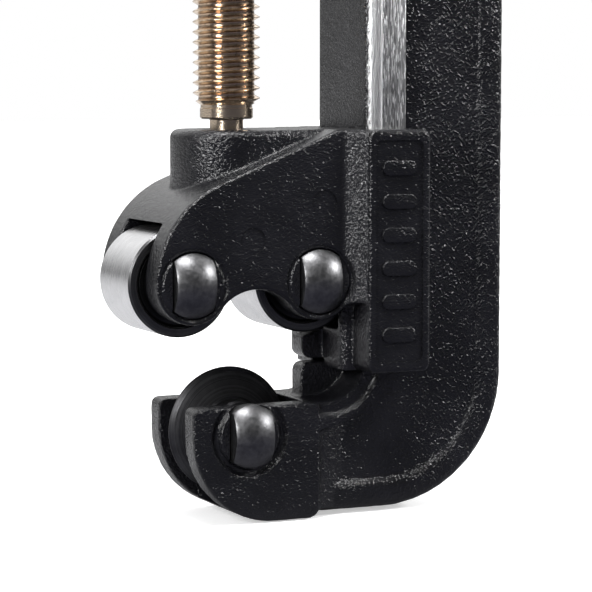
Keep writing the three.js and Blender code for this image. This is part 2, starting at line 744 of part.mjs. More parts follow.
// A screw thread: rows of points climb one pitch per turn, alternating between root and crest, so the
// last column of each row meets the first column two rows up.  Flat fans close both ends.
function threadBar(low, high) {
  const rows = 2 * Math.ceil((high - low) / PITCH) + 4;
  const start = low - PITCH;
  const positions = [];
  for (let row = 0; row <= rows; row += 1) {
    const radius = row % 2 === 0 ? ROOT_R : CREST_R;
    for (let side = 0; side < THREAD_SIDES; side += 1) {
      const turn = side / THREAD_SIDES;
      const z = start + PITCH * (row / 2 + turn);
      positions.push(radius * Math.cos(TAU * turn), radius * Math.sin(TAU * turn), z);
    }
  }
  const at = (row, side) => (side < THREAD_SIDES ? row * THREAD_SIDES + side : (row + 2) * THREAD_SIDES);
  const faces = [];
  for (let row = 0; row < rows - 2; row += 1) {
    for (let side = 0; side < THREAD_SIDES; side += 1) {
      const [a, b, c, d] = [at(row, side), at(row, side + 1), at(row + 1, side + 1), at(row + 1, side)];
      faces.push(a, b, c, a, c, d);
    }
  }
  const bottom = positions.length / 3;
  positions.push(0, 0, start - PITCH);
  positions.push(0, 0, start + PITCH * (rows / 2 + 1));
  const lowLoop = [];
  const highLoop = [];
  for (let side = 0; side <= THREAD_SIDES; side += 1) {
    lowLoop.push(at(0, side));
    highLoop.push(at(rows - 2, side));
  }
  lowLoop.push(at(1, 0));
  highLoop.push(at(rows - 1, 0));
  lowLoop.forEach((point, i) => faces.push(bottom, lowLoop[(i + 1) % lowLoop.length], point));
  highLoop.forEach((point, i) => faces.push(bottom + 1, point, highLoop[(i + 1) % highLoop.length]));
  const geometry = new THREE.BufferGeometry();
  geometry.setAttribute("position", new THREE.Float32BufferAttribute(positions, 3));
  geometry.setIndex(faces);
  return solid(geometry);
}

function spindle() {
  const runout = COLLAR_TOP + 1.2;
  const envelope = turnedUp([
    [0, COLLAR_TOP - 0.2],
    [ROOT_R - 0.3, COLLAR_TOP - 0.2],
    [ROOT_R - 0.3, COLLAR_TOP + 0.2],
    [CREST_R + 0.3, runout + 0.4],
    [CREST_R + 0.3, THREAD_TOP - 0.6],
    [ROOT_R, THREAD_TOP + 0.1],
    [0, THREAD_TOP + 0.1],
  ], PIN_SIDES);
  const thread = threadBar(COLLAR_TOP, THREAD_TOP).intersect(envelope);
  const grooveR = 1.9;
  const grooveHalf = 1.2;
  const journal = turnedUp([
    [0, NECK_BOTTOM],
    [NECK_R - 0.4, NECK_BOTTOM],
    [NECK_R, NECK_BOTTOM + 0.4],
    [NECK_R, KEEPER_Z - grooveHalf],
    [grooveR, KEEPER_Z - grooveHalf],
    [grooveR, KEEPER_Z + grooveHalf],
    [NECK_R, KEEPER_Z + grooveHalf],
    [NECK_R, COLLAR_BOTTOM],
    [COLLAR_R - 0.2, COLLAR_BOTTOM],
    [COLLAR_R, COLLAR_BOTTOM + 0.2],
    [COLLAR_R, COLLAR_TOP],
    [0, COLLAR_TOP],
  ], PIN_SIDES);
  const shank = barUp(DRIVE_R, THREAD_TOP, SPINDLE_TOP, PIN_SIDES);
  const flats = box(-DRIVE_FLAT_HALF, DRIVE_FLAT_HALF, -DRIVE_R, DRIVE_R, THREAD_TOP, SPINDLE_TOP);
  const tappingFloor = SPINDLE_TOP - SCREW_DEPTH - PAST;
  const tapping = barUp(SCREW_R + SEAT_GAP, tappingFloor, SPINDLE_TOP + PAST, PIN_SIDES);
  return union(journal, thread, shank.intersect(flats)).subtract(tapping);
}

function fluteOutline() {
  const stepsPerFlute = 6;
  const steps = HANDLE_FLUTES * stepsPerFlute;
  const points = [];
  for (let i = 0; i < steps; i += 1) {
    const angle = (i / steps) * TAU;
    const wave = 0.5 - 0.5 * Math.cos(HANDLE_FLUTES * angle);
    const radius = HANDLE_R - FLUTE_DEPTH * wave ** 2;
    points.push([radius * Math.cos(angle), radius * Math.sin(angle)]);
  }
  return outlineOf(points);
}

function handle() {
  const skirtR = 11.5;
  const skirtHeight = 3;
  const waistHeight = 6;
  const crown = 3;
  const blankR = HANDLE_R + SINK;
  const blank = turnedUp([
    [0, HANDLE_BOTTOM],
    [skirtR, HANDLE_BOTTOM],
    [skirtR, HANDLE_BOTTOM + skirtHeight],
    [blankR, HANDLE_BOTTOM + waistHeight],
    [blankR, HANDLE_TOP - crown],
    [HANDLE_R - crown, HANDLE_TOP],
    [0, HANDLE_TOP],
  ]);
  const grip = blank.intersect(column(fluteOutline(), HANDLE_BOTTOM - PAST, HANDLE_TOP + PAST));
  const driveFlat = DRIVE_FLAT_HALF + SEAT_GAP;
  const driveHalf = DRIVE_R + PAST;
  const low = HANDLE_BOTTOM - PAST;
  const high = HANDLE_TOP + PAST;
  const driveRound = barUp(DRIVE_R + SEAT_GAP, low, SHOULDER_Z + SINK, PIN_SIDES);
  const driveBox = box(-driveFlat, driveFlat, -driveHalf, driveHalf, low - PAST, SHOULDER_Z + PAST);
  const screwWell = barUp(SCREW_WELL_R, SHOULDER_Z, high, PIN_SIDES);
  const capWell = barUp(CAP_R + SEAT_GAP, HANDLE_TOP - CAP_DEPTH, high, PIN_SIDES);
  return grip.subtract(union(driveRound.intersect(driveBox), screwWell, capWell));
}

function handleWasher() {
  const inner = SCREW_R + RUNNING_GAP;
  const outer = SCREW_WELL_R - 2 * RUNNING_GAP;
  const high = WASHER_LOW + WASHER_THICKNESS;
  return turnedUp([
    [inner, WASHER_LOW],
    [outer, WASHER_LOW],
    [outer, high],
    [inner, high],
    [inner, WASHER_LOW],
  ], PIN_SIDES);
}

function handleScrew() {
  const headR = 3.6;
  const keyR = 1.7;
  const keyDepth = 1.8;
  const chamfer = 0.4;
  const tip = SPINDLE_TOP - SCREW_DEPTH;
  const top = SCREW_SEAT + 3.0;
  const screw = turnedUp([
    [0, tip],
    [SCREW_R - chamfer, tip],
    [SCREW_R, tip + chamfer],
    [SCREW_R, SCREW_SEAT],
    [headR, SCREW_SEAT],
    [headR, top - chamfer],
    [headR - chamfer, top],
    [0, top],
  ], PIN_SIDES);
  const keyHole = barUp(keyR, top - keyDepth, top + PAST, 6);
  return screw.subtract(keyHole);
}

// Snap-in cap over the screw, with a plug ring below its disc.
function handleCap() {
  const low = HANDLE_TOP - CAP_DEPTH + SEAT_GAP;
  const plugR = SCREW_WELL_R - 0.1;
  const plugWall = 1.2;
  const plugDepth = 1.2;
  return turnedUp([
    [0, low],
    [plugR - plugWall, low],
    [plugR - plugWall, low - plugDepth],
    [plugR, low - plugDepth],
    [plugR, low],
    [CAP_R, low],
    [CAP_R, HANDLE_TOP],
    [0, HANDLE_TOP],
  ], PIN_SIDES);
}

// ---------------------------------------------------------------- assembly

const cutter = new THREE.Group();
cutter.add(
  part("frame", frame(), BLACK_PAINT),
  part("spindle_nut", spindleNut(), BRASS),
  part("cutting_wheel", cuttingWheel(), DARK_STEEL),
  part("wheel_axle", axle(0, 0, JAW_HALF, WHEEL_HEAD_LIFT, HEAD_RISE), DARK_STEEL),
  part("wheel_axle_ring", axleRing(0, 0, JAW_HALF), SPRING_STEEL),
  part("slide", slide(), BLACK_PAINT),
  part("thrust_ball", thrustBall(), GROUND_STEEL),
  part("spindle_keeper_pin", keeperPin(), SPRING_STEEL),
  part("spindle", spindle(), YELLOW_ZINC),
  part("handle", handle(), BLACK_PLASTIC),
  part("handle_washer", handleWasher(), SPRING_STEEL),
  part("handle_screw", handleScrew(), DARK_STEEL),
  part("handle_cap", handleCap(), BLACK_PLASTIC),
);

for (const [side, x] of [["left", -ROLLER_X], ["right", ROLLER_X]]) {
  cutter.add(
    part(`${side}_roller`, rollerSleeve(x), GROUND_STEEL),
    part(`${side}_roller_bush`, rollerBush(x), BLACK_OXIDE),
    part(`${side}_roller_axle`, axle(x, ROLLER_Z, HOUSING_HALF, ROLLER_HEAD_LIFT, HEAD_RISE), DARK_STEEL),
    part(`${side}_roller_axle_ring`, axleRing(x, ROLLER_Z, HOUSING_HALF), SPRING_STEEL),
  );
}

// The footprint runs from the left roller to the spine; the jaw's flat underside is the lowest point.
const footprintLeft = -ROLLER_X - ROLLER_R;
cutter.position.set(-(footprintLeft + SPINE_X) / 2, 0, -JAW_BOTTOM);

export default cutter;
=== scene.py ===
"""Looks of a screw-feed pipe cutter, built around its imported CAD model.

Pieces are built in millimetres about the middle of the cutting wheel, with X towards the spine and Z up the
feed screw.  place() then moves them into the row frame, in metres.
"""

import math

import bmesh
import bpy
import numpy as np
from mathutils import Matrix, Vector, noise


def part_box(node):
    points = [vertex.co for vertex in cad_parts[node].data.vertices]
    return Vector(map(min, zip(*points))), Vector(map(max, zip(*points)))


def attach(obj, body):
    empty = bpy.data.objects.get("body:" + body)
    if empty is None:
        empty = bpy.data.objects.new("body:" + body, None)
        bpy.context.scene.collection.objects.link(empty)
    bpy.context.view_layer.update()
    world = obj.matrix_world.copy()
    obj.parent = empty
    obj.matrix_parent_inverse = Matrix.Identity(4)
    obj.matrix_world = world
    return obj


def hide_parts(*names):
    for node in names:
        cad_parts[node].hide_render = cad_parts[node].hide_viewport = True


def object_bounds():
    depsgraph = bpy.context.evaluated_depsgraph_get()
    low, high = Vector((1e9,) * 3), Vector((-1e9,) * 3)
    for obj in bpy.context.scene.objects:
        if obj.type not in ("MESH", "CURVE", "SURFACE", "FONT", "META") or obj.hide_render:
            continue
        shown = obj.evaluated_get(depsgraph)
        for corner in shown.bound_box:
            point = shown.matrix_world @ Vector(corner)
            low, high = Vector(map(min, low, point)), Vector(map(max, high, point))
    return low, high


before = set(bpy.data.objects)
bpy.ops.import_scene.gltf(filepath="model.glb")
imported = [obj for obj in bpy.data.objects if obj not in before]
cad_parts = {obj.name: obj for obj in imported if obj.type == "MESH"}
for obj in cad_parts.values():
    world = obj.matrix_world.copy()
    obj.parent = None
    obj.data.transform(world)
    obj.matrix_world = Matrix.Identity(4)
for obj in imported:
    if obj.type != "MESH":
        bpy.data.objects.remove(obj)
cad_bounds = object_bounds()

MM = 0.001


def middle(node):
    low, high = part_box(node)
    return (low + high) / 2


# The wheel's middle is the working origin.
ORIGIN = middle("cutting_wheel")


def local_box(node):
    """Lowest and highest corner of a CAD node, in working millimetres."""
    low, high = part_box(node)
    return (low - ORIGIN) / MM, (high - ORIGIN) / MM


# ---------------------------------------- dimensions, in millimetres

# jaw
JAW_HALF = 9.05
JAW_LEFT = -9.0
JAW_BACK = 11.4
JAW_TOP = 4.4
JAW_BOTTOM = -13.0
JAW_SLOT_HALF = 5.1
JAW_SLOT_R = 11.0

# spine, rail and upper arm
SPINE_X = 43.2
SPINE_CORNER_R = 20.2
SPINE_BOTTOM = -12.5
WEB_HALF = 6.5
WEB_INSET = 1.0
RIM_HALF = 7.2
RIM_WIDTH = 4.6
RAIL_FACE_X = 19.0
RAIL_SHOULDER_X = 21.2
RAIL_BACK_X = 25.3
RAIL_FACE_HALF = 8.2
RAIL_HALF = 9.3
THROAT_R = 6.0
ARM_UNDERSIDE = 79.0
ARM_TOP = 93.0
BOSS_R = 9.6
BOSS_BOTTOM = 75.0
BOSS_TOP = 93.6
NUT_R = 7.0
NUT_BOTTOM = 76.5
NUT_FLANGE_R = 8.4
NUT_TOP = 94.8

# nose plate and tongue plate
PLATE_HALF = 1.8
NOSE_LEFT = 11.4
NOSE_TOP = 9.6
TONGUE_LEFT = 11.5
TONGUE_BOTTOM = 10.2

# slide
SLIDE_TOP = 45.1
SLIDE_BOTTOM = 8.9
COLLAR_BOSS_R = 8.45
HOUSING_HALF = 11.9
WINDOW_HALF = 7.05
WINDOW_R = 9.3
ROOF_SLOPE = 22.2
GUIDE_LEFT = 16.8
GUIDE_RIGHT = 27.0
GUIDE_HALF = 14.4
PANEL_LEFT = GUIDE_LEFT + 1.1
PANEL_RIGHT = GUIDE_RIGHT - 1.3
STRIP_LEFT = 13.9
COLUMN_LEFT = 15.0
COLUMN_HALF = 8.8

# rollers and axles
ROLLER_X = 10.0
ROLLER_Z = 22.8
ROLLER_R = 8.0
ROLLER_HALF = 6.3
ROLLER_BORE_R = 6.5
AXLE_R = 3.0
HEAD_R = 4.7
HEAD_RISE = 2.2
HEAD_FLAT_HALF = 3.05
LOBE_R = 5.75
HEAD_POCKET_DEPTH = 1.4
SEGMENT_R = 4.8
WHEEL_HEAD_LIFT = 0.7
RING_GROOVE_R = 2.5
RING_R = 4.5

# spindle and handle
PITCH = 1.5
CREST_R = 5.0
ROOT_R = 4.15
COLLAR_R = 3.95
NECK_R = 2.5
COLLAR_BOTTOM = 46.6
COLLAR_TOP = 48.4
NECK_BOTTOM = 35.9
THREAD_TOP = 96.0
SPINDLE_TOP = 133.8
DRIVE_R = 4.2
DRIVE_FLAT_HALF = 3.3
KEEPER_Z = 40.5
HANDLE_BOTTOM = 96.5
HANDLE_TOP = 142.5
HANDLE_R = 16.2
HANDLE_FLUTES = 10
FLUTE_DEPTH = 1.5
CAP_R = 9.5
CAP_DEPTH = 2.0
SCREW_WELL_R = 7.0

# how far a cutter runs past the surface it opens, and how deep a piece is sunk into one it joins
PAST = 1.0
SINK = 0.5

# gaps: pieces set into one another, an axle in its seat, a piece that turns on another
SNUG_FIT = 0.05
SEAT_FIT = 0.1
RUNNING_FIT = 0.2

# grid of the remeshed castings; coarser while trying things
FRAME_VOXEL = 0.3
SLIDE_VOXEL = 0.22

# edges steeper than this, in degrees, are rounded on the joined castings
CAST_EDGE = 60

# ---------------------------------------- mesh building


def arc(x, y, radius, start, end, steps=24):
    """Points on an arc, angles in degrees, both ends included."""
    angles = [math.radians(start + (end - start) * i / steps) for i in range(steps + 1)]
    return [(x + radius * math.cos(a), y + radius * math.sin(a)) for a in angles]


def add_object(name, data):
    made = bpy.data.objects.new(name, data)
    bpy.context.scene.collection.objects.link(made)
    return made


def solid(vertices, faces):
    mesh = bpy.data.meshes.new("piece")
    mesh.from_pydata(vertices, [], faces)
    work = bmesh.new()
    work.from_mesh(mesh)
    bmesh.ops.remove_doubles(work, verts=work.verts, dist=1e-5)
    bmesh.ops.recalc_face_normals(work, faces=work.faces)
    work.to_mesh(mesh)
    work.free()
    return add_object("piece", mesh)


def extruded(outline, low, high, point):
    """A closed prism; point(u, v, w) puts outline point (u, v) at height w."""
    count = len(outline)
    vertices = [point(u, v, w) for w in (low, high) for u, v in outline]
    sides = [(i, (i + 1) % count, (i + 1) % count + count, i + count) for i in range(count)]
    return solid(vertices, [tuple(range(count)), tuple(range(count, 2 * count)), *sides])


def plate(outline, half):
    """A plate whose outline lies in XZ, centred on the tool's middle plane."""
    return extruded(outline, -half, half, lambda x, z, y: (x, y, z))


def column(outline, low, high):
    """A column whose outline lies in XY."""
    return extruded(outline, low, high, lambda x, y, z: (x, y, z))


def mirrored(near):
    """A closed outline from its half on one side of the middle plane."""
    return [*near, *[(along, -across) for along, across in reversed(near)]]


def box(x0, x1, y0, y1, z0, z1):
    return column([(x0, y0), (x1, y0), (x1, y1), (x0, y1)], z0, z1)


def turned(profile, centre=(0, 0, 0), axis="Y", steps=96, slots=None):
    """A solid of revolution from [radius, distance] points.  slots gives a material slot for each stretch."""
    rings = []
    vertices = []
    for radius, along in profile:
        ring = []
        for i in range(steps if radius > 1e-6 else 1):
            angle = 2 * math.pi * i / steps
            u, v = radius * math.cos(angle), radius * math.sin(angle)
            spot = (u, along, v) if axis == "Y" else (u, v, along)
            ring.append(len(vertices))
            vertices.append(tuple(a + b for a, b in zip(spot, centre)))
        rings.append(ring)
    closed = profile[0][0] > 1e-6
    pairs = list(zip(rings, rings[1:]))
    if closed:
        pairs.append((rings[-1], rings[0]))
    faces = []
    owner = []
    for stretch, (a, b) in enumerate(pairs):
        for i in range(steps):
            j = (i + 1) % steps
            corners = [a[i % len(a)], a[j % len(a)], b[j % len(b)], b[i % len(b)]]
            corners = list(dict.fromkeys(corners))
            if len(corners) > 2:
                faces.append(corners)
                owner.append(slots[stretch] if slots else 0)
    piece = solid(vertices, faces)
    if slots:
        piece.data.polygons.foreach_set("material_index", owner)
    return piece


def bar(x, z, radius, y0, y1, steps=64):
    """A round bar across the tool."""
    return turned([(0, y0), (radius, y0), (radius, y1), (0, y1)], (x, 0, z), "Y", steps)


def post(radius, low, high, steps=64):
    """A round bar along the feed screw."""
    return turned([(0, low), (radius, low), (radius, high), (0, high)], (0, 0, 0), "Z", steps)


def bake(piece):
    """Applies the piece's modifiers."""
    bpy.context.view_layer.update()
    evaluated = piece.evaluated_get(bpy.context.evaluated_depsgraph_get())
    mesh = bpy.data.meshes.new_from_object(evaluated)
    piece.modifiers.clear()
    piece.data = mesh
    return piece


def combine(base, others, operation):
    for other in others:
        modifier = base.modifiers.new("combine", "BOOLEAN")
        modifier.operation = operation
        modifier.solver = "MANIFOLD"
        modifier.object = other
        bake(base)
        bpy.data.objects.remove(other)
    return base


def union(first, *others):
    return combine(first, others, "UNION")


def cut(base, *cutters):
    return combine(base, cutters, "DIFFERENCE")


def keep_inside(base, envelope):
    return combine(base, [envelope], "INTERSECT")


def softened(piece, voxel, passes=3):
    """Turns a crisp solid into one with soft cast edges and small fillets."""
    remesh = piece.modifiers.new("remesh", "REMESH")
    remesh.mode = "VOXEL"
    remesh.voxel_size = voxel
    smooth = piece.modifiers.new("smooth", "SMOOTH")
    smooth.factor = 0.5
    smooth.iterations = passes
    return bake(piece)


def cast_skin(piece, height, wave):
    """Uneven cast surface: moves every vertex along its normal by smooth noise."""
    mesh = piece.data
    spots = np.empty(len(mesh.vertices) * 3)
    mesh.vertices.foreach_get("co", spots)
    normals = np.empty(len(spots))
    mesh.vertex_normals.foreach_get("vector", normals)
    waves = (spots / wave).reshape(-1, 3)
    finer, share = 2.1, 0.5
    lift = [noise.noise(w) + share * noise.noise(w * finer) for w in map(Vector, waves)]
    mesh.vertices.foreach_set("co", spots + height * np.repeat(lift, 3) * normals)
    mesh.update()
    return piece


def bevelled(piece, width, segments=3, angle=30):
    bevel = piece.modifiers.new("bevel", "BEVEL")
    bevel.width = width
    bevel.segments = segments
    bevel.limit_method = "ANGLE"
    bevel.angle_limit = math.radians(angle)
    return bake(piece)


def place(piece, name, body, node, materials, sharp=38):
    """Moves a finished piece into the row frame and lets it stand for a CAD node on a body.

    Edges steeper than sharp, in degrees, stay sharp in the shading.
    """
    piece.data.transform(Matrix.Translation(ORIGIN) @ Matrix.Scale(MM, 4))
    piece.name = name
    piece.data.name = name
    slots = np.zeros(len(piece.data.polygons), dtype=np.int32)
    if len(materials) > 1:
        piece.data.polygons.foreach_get("material_index", slots)
    piece.data.materials.clear()
    for material in materials:
        piece.data.materials.append(material)
    piece.data.polygons.foreach_set("material_index", slots)
    piece.data.shade_smooth()
    piece.data.set_sharp_from_angle(angle=math.radians(sharp))
    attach(piece, body)
    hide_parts(node)


# ---------------------------------------- materials


PAINT_IOR = 1.52

# the Mix node's sockets by number (first value, second value, result), because their names repeat
MIX_SOCKETS = {"RGBA": (6, 7, 2), "VECTOR": (4, 5, 1)}


def rgba(value):
    """An opaque colour; a socket is passed on as it is."""
    return value if isinstance(value, bpy.types.NodeSocket) else (*value, 1.0)


class Graph:
    """The node tree of a new material or world, with short ways to add and join nodes."""

    def __init__(self, owner):
        owner.use_nodes = True
        self.owner = owner
        self.tree = owner.node_tree
        self.tree.nodes.clear()

    def node(self, kind, inputs=None, **settings):
        """Adds a shader node; inputs holds sockets to link and values to set."""
        made = self.tree.nodes.new("ShaderNode" + kind)
        for key, value in settings.items():
            setattr(made, key, value)
        for key, value in (inputs or {}).items():
            if isinstance(value, bpy.types.NodeSocket):
                self.tree.links.new(value, made.inputs[key])
            else:
                made.inputs[key].default_value = value
        return made

    def math(self, operation, a, b=0.0):
        return self.node("Math", {0: a, 1: b}, operation=operation).outputs[0]

    def product(self, first, *others):
        for other in others:
            first = self.math("MULTIPLY", first, other)
        return first

    def distance(self, a, b):
        return self.math("ABSOLUTE", self.math("SUBTRACT", a, b))

    def hypotenuse(self, a, b):
        return self.math("SQRT", self.math("ADD", self.product(a, a), self.product(b, b)))

    def blend(self, kind, factor, a, b):
        first, second, result = MIX_SOCKETS[kind]
        return self.node("Mix", {0: factor, first: a, second: b}, data_type=kind).outputs[result]

    def mix(self, factor, a, b):
        return self.blend("RGBA", factor, rgba(a), rgba(b))

    def axes(self):
        """X, Y and Z in millimetres from the wheel's middle."""
        return self.node("SeparateXYZ", {0: self.place_mm()}).outputs

    def place_mm(self, stretch=(1, 1, 1)):
        """Position on the object in millimetres from the wheel's middle, stretched per axis."""
        spot = self.node("TexCoord").outputs["Object"]
        moved = self.node("VectorMath", {0: spot, 1: ORIGIN}, operation="SUBTRACT").outputs[0]
        scale = tuple(s / MM for s in stretch)
        return self.node("VectorMath", {0: moved, 1: scale}, operation="MULTIPLY").outputs[0]

    def noise(self, vector, scale, detail=2.0, rough=0.5):
        inputs = {"Vector": vector, "Scale": scale, "Detail": detail, "Roughness": rough}
        return self.node("TexNoise", inputs).outputs["Fac"]

    def span(self, value, low, high, to_low=0.0, to_high=1.0):
        """Maps low to high onto to_low to to_high, eased at both ends and held beyond them."""
        inputs = {"Value": value, "From Min": low, "From Max": high, "To Min": to_low, "To Max": to_high}
        return self.node("MapRange", inputs, interpolation_type="SMOOTHSTEP", clamp=True).outputs[0]

    def bump(self, height, depth_mm, below=None):
        inputs = {"Height": height, "Distance": depth_mm * MM}
        if below:
            inputs["Normal"] = below
        return self.node("Bump", inputs).outputs[0]

    def finish(self, **inputs):
        named = {key.replace("_", " ").title().replace("Ior", "IOR"): value for key, value in inputs.items()}
        shader = self.node("BsdfPrincipled", named)
        self.node("OutputMaterial", {"Surface": shader.outputs[0]})
        return self.owner


def new_material(name):
    return Graph(bpy.data.materials.new(name))


def paint_layers(g, coarse, smooth):
    """Glossy black paint on a casting: colour, roughness and normal.

    coarse, 0 to 1, brings in hammered grain; smooth, 0 to 1, takes the fine grain away.
    """
    dark, light = (0.0050, 0.0050, 0.0062), (0.0095, 0.0095, 0.0115)
    spot = g.place_mm()
    fine = g.noise(spot, scale=2.3, detail=2.0, rough=0.6)
    medium = g.noise(spot, scale=1.3, detail=2.0)
    hammered = g.noise(g.place_mm((1.25, 1.25, 0.85)), scale=2.3, detail=1.0)
    hammered = g.span(hammered, 0.46, 0.74)
    broad = g.noise(spot, scale=0.12, detail=3.0)
    fine = g.product(fine, g.math("SUBTRACT", 1.0, smooth))
    grain = g.bump(fine, depth_mm=0.20)
    rolling = g.bump(medium, depth_mm=0.05, below=grain)
    normal = g.bump(g.product(hammered, coarse), depth_mm=0.13, below=rolling)
    base = g.mix(g.span(broad, 0.35, 0.7), dark, light)
    rough = g.span(medium, 0.3, 0.7, 0.12, 0.20)
    return base, rough, normal


def slide_paint():
    """Paint on the slide, coarser on the slanted strips beside the guide, which are also painted lighter as a
    painted sheen.
    """
    g = new_material("slide_paint")
    x, y, _ = g.axes()
    across = g.math("ABSOLUTE", y)
    strip = g.product(
        g.span(x, STRIP_LEFT - 0.7, STRIP_LEFT + 0.3),
        g.span(x, GUIDE_LEFT - 0.1, GUIDE_LEFT + 0.1, 1.0, 0.0),
        g.span(across, HOUSING_HALF - 0.3, HOUSING_HALF + 0.3),
    )
    on_guide = g.span(across, GUIDE_HALF - 0.9, GUIDE_HALF - 0.6)
    coarse = g.math("ADD", g.product(strip, 0.8), 0.05)
    base, rough, normal = paint_layers(g, coarse, smooth=g.product(on_guide, 0.15))
    # the strips' lighter base colour is a painted sheen, standing in for the light they catch from the left
    base = g.mix(strip, base, (0.022, 0.022, 0.024))
    return g.finish(base_color=base, roughness=rough, normal=normal, ior=PAINT_IOR)


def rail_metal(g, x, ragged):
    """Colour and normal of the rail's bare metal: drawn, scored and worn, with painted highlights along the
    shoulder and along the worn paint edge.
    """
    drawn = g.noise(g.place_mm((5.0, 5.0, 0.28)), scale=1.0, detail=4.0, rough=0.7)
    score = g.span(g.noise(g.place_mm((6.0, 6.0, 0.5)), scale=1.0), 0.55, 0.61)
    worn = g.noise(g.place_mm((0.8, 0.8, 0.25)), scale=1.0, detail=3.0)
    metal = g.mix(g.span(drawn, 0.34, 0.66), (0.13, 0.13, 0.135), (0.38, 0.38, 0.385))
    metal = g.mix(g.product(score, 0.9), metal, (0.97, 0.97, 0.98))
    metal = g.mix(g.span(worn, 0.45, 0.75, 0.0, 0.5), metal, (0.15, 0.15, 0.155))
    on_flank = g.span(x, RAIL_SHOULDER_X, RAIL_SHOULDER_X + 0.1)
    metal = g.mix(on_flank, (0.40, 0.40, 0.405), metal)
    from_shoulder = g.distance(x, RAIL_SHOULDER_X)
    from_paint = g.distance(g.math("ADD", x, g.product(ragged, 0.3)), RAIL_FACE_X + 0.6)
    # near-white lines along the shoulder and the worn paint edge are painted highlights, where those edges
    # catch the light
    shoulder_highlight = g.span(from_shoulder, 0.06, 0.2, 1.0, 0.0)
    worn_edge_highlight = g.span(from_paint, 0.15, 0.35, 1.0, 0.0)
    line = g.math("MAXIMUM", shoulder_highlight, worn_edge_highlight)
    return g.mix(line, metal, (0.98, 0.98, 0.98)), g.bump(drawn, depth_mm=0.09)


def frame_paint():
    """Paint on the casting, hammered along the spine, and bare machined metal on the rail's flanks."""
    g = new_material("frame_paint")
    x, y, z = g.axes()
    on_spine = g.span(x, 23.0, 30.0)
    coarse = g.math("ADD", g.product(on_spine, 0.35), 0.3)
    on_web = g.span(x, 17.0, 22.0)
    base, rough, normal = paint_layers(g, coarse, smooth=g.product(on_web, 0.6))
    ragged = g.noise(g.place_mm((2.2, 2.2, 0.7)), scale=1.4, detail=3.0)
    ragged = g.product(g.math("SUBTRACT", ragged, 0.5), 1.3)
    rail_low, rail_high = JAW_TOP + THROAT_R, ARM_UNDERSIDE - THROAT_R
    bare = g.product(
        g.span(g.math("ADD", x, ragged), RAIL_FACE_X + 0.15, RAIL_FACE_X + 0.75),
        g.span(x, RAIL_BACK_X - 0.05, RAIL_BACK_X + 0.05, 1.0, 0.0),
        g.span(g.math("ABSOLUTE", y), RAIL_FACE_HALF - 0.1, RAIL_FACE_HALF + 0.05),
        g.span(z, rail_low, rail_low + 1.5),
        g.span(z, rail_high - 1.5, rail_high, 1.0, 0.0),
    )
    metal, scratched = rail_metal(g, x, ragged)
    return g.finish(
        base_color=g.mix(bare, base, metal),
        roughness=g.math("ADD", g.product(bare, 0.22), rough),
        metallic=bare,
        normal=g.blend("VECTOR", bare, normal, scratched),
        ior=PAINT_IOR,
    )


def steel(name, dark, light, rough_low, rough_high, stretch=(1, 1, 1), scale=1.2, depth=0.02):
    """Bare steel with uneven tone and fine marks; stretch draws the marks out along an axis."""
    g = new_material(name)
    marks = g.noise(g.place_mm(stretch), scale, detail=5.0, rough=0.62)
    cloud = g.noise(g.place_mm(), scale=0.35, detail=3.0)
    tone = g.math("ADD", g.product(marks, 0.6), g.product(cloud, 0.4))
    return g.finish(
        base_color=g.mix(g.span(tone, 0.36, 0.64), dark, light),
        roughness=g.span(marks, 0.3, 0.7, rough_low, rough_high),
        metallic=1.0,
        normal=g.bump(marks, depth),
    )


def turned_steel(name, centre, dark, light, rough, ring_scale=5.0):
    """Steel with fine rings about an axis across the tool through centre, given as (x, z)."""
    g = new_material(name)
    x, y, z = g.axes()
    radius = g.hypotenuse(g.math("SUBTRACT", x, centre[0]), g.math("SUBTRACT", z, centre[1]))
    spot = g.node("CombineXYZ", {0: radius, 1: y}).outputs[0]
    rings = g.noise(spot, ring_scale, detail=4.0, rough=0.7)
    cloud = g.noise(g.place_mm(), scale=0.5, detail=3.0)
    tone = g.math("ADD", g.product(rings, 0.8), g.product(cloud, 0.2))
    return g.finish(
        base_color=g.mix(g.span(tone, 0.38, 0.62), dark, light),
        roughness=g.span(rings, 0.3, 0.7, rough, rough + 0.12),
        metallic=1.0,
        normal=g.bump(rings, depth_mm=0.02),
    )


def spindle_finish():
    """Yellowish plated screw; the thread's roots are painted darker than its crests as painted shade, with
    dark specks of dirt in them.
    """
    plain, root_shade, dirt = (0.74, 0.61, 0.47), (0.56, 0.42, 0.30), (0.10, 0.066, 0.042)
    crest_dark, crest_light = (0.62, 0.49, 0.36), (0.86, 0.72, 0.57)
    g = new_material("yellow_plating")
    x, y, z = g.axes()
    out = g.span(g.hypotenuse(x, y), ROOT_R - 0.05, CREST_R - 0.15)
    stain = g.noise(g.place_mm(), scale=0.9, detail=4.0, rough=0.6)
    marks = g.noise(g.place_mm((1, 1, 5)), scale=2.4, detail=4.0)
    crest = g.mix(g.span(stain, 0.35, 0.65), crest_dark, crest_light)
    threaded = g.span(z, COLLAR_TOP + 0.2, COLLAR_TOP + 1.2)
    pits = g.span(g.noise(g.place_mm(), scale=3.2), 0.30, 0.40)
    # roots painted darker than the crests: painted shade in the thread's hollows, with sparse dark specks of
    # dirt
    root = g.mix(threaded, plain, g.mix(pits, dirt, root_shade))
    return g.finish(
        base_color=g.mix(out, root, crest),
        roughness=g.span(marks, 0.3, 0.7, 0.15, 0.24),
        metallic=1.0,
        normal=g.bump(marks, depth_mm=0.015),
    )


def grip_plastic():
    g = new_material("grip_plastic")
    fine = g.noise(g.place_mm(), scale=4.5, detail=3.0, rough=0.6)
    medium = g.noise(g.place_mm(), scale=0.6, detail=3.0)
    broad = g.noise(g.place_mm(), scale=0.2, detail=3.0)
    return g.finish(
        base_color=g.mix(g.span(broad, 0.3, 0.7), (0.011, 0.011, 0.012), (0.021, 0.021, 0.022)),
        roughness=g.span(medium, 0.3, 0.7, 0.40, 0.56),
        normal=g.bump(fine, depth_mm=0.05),
        ior=1.46,
    )


# ---------------------------------------- frame


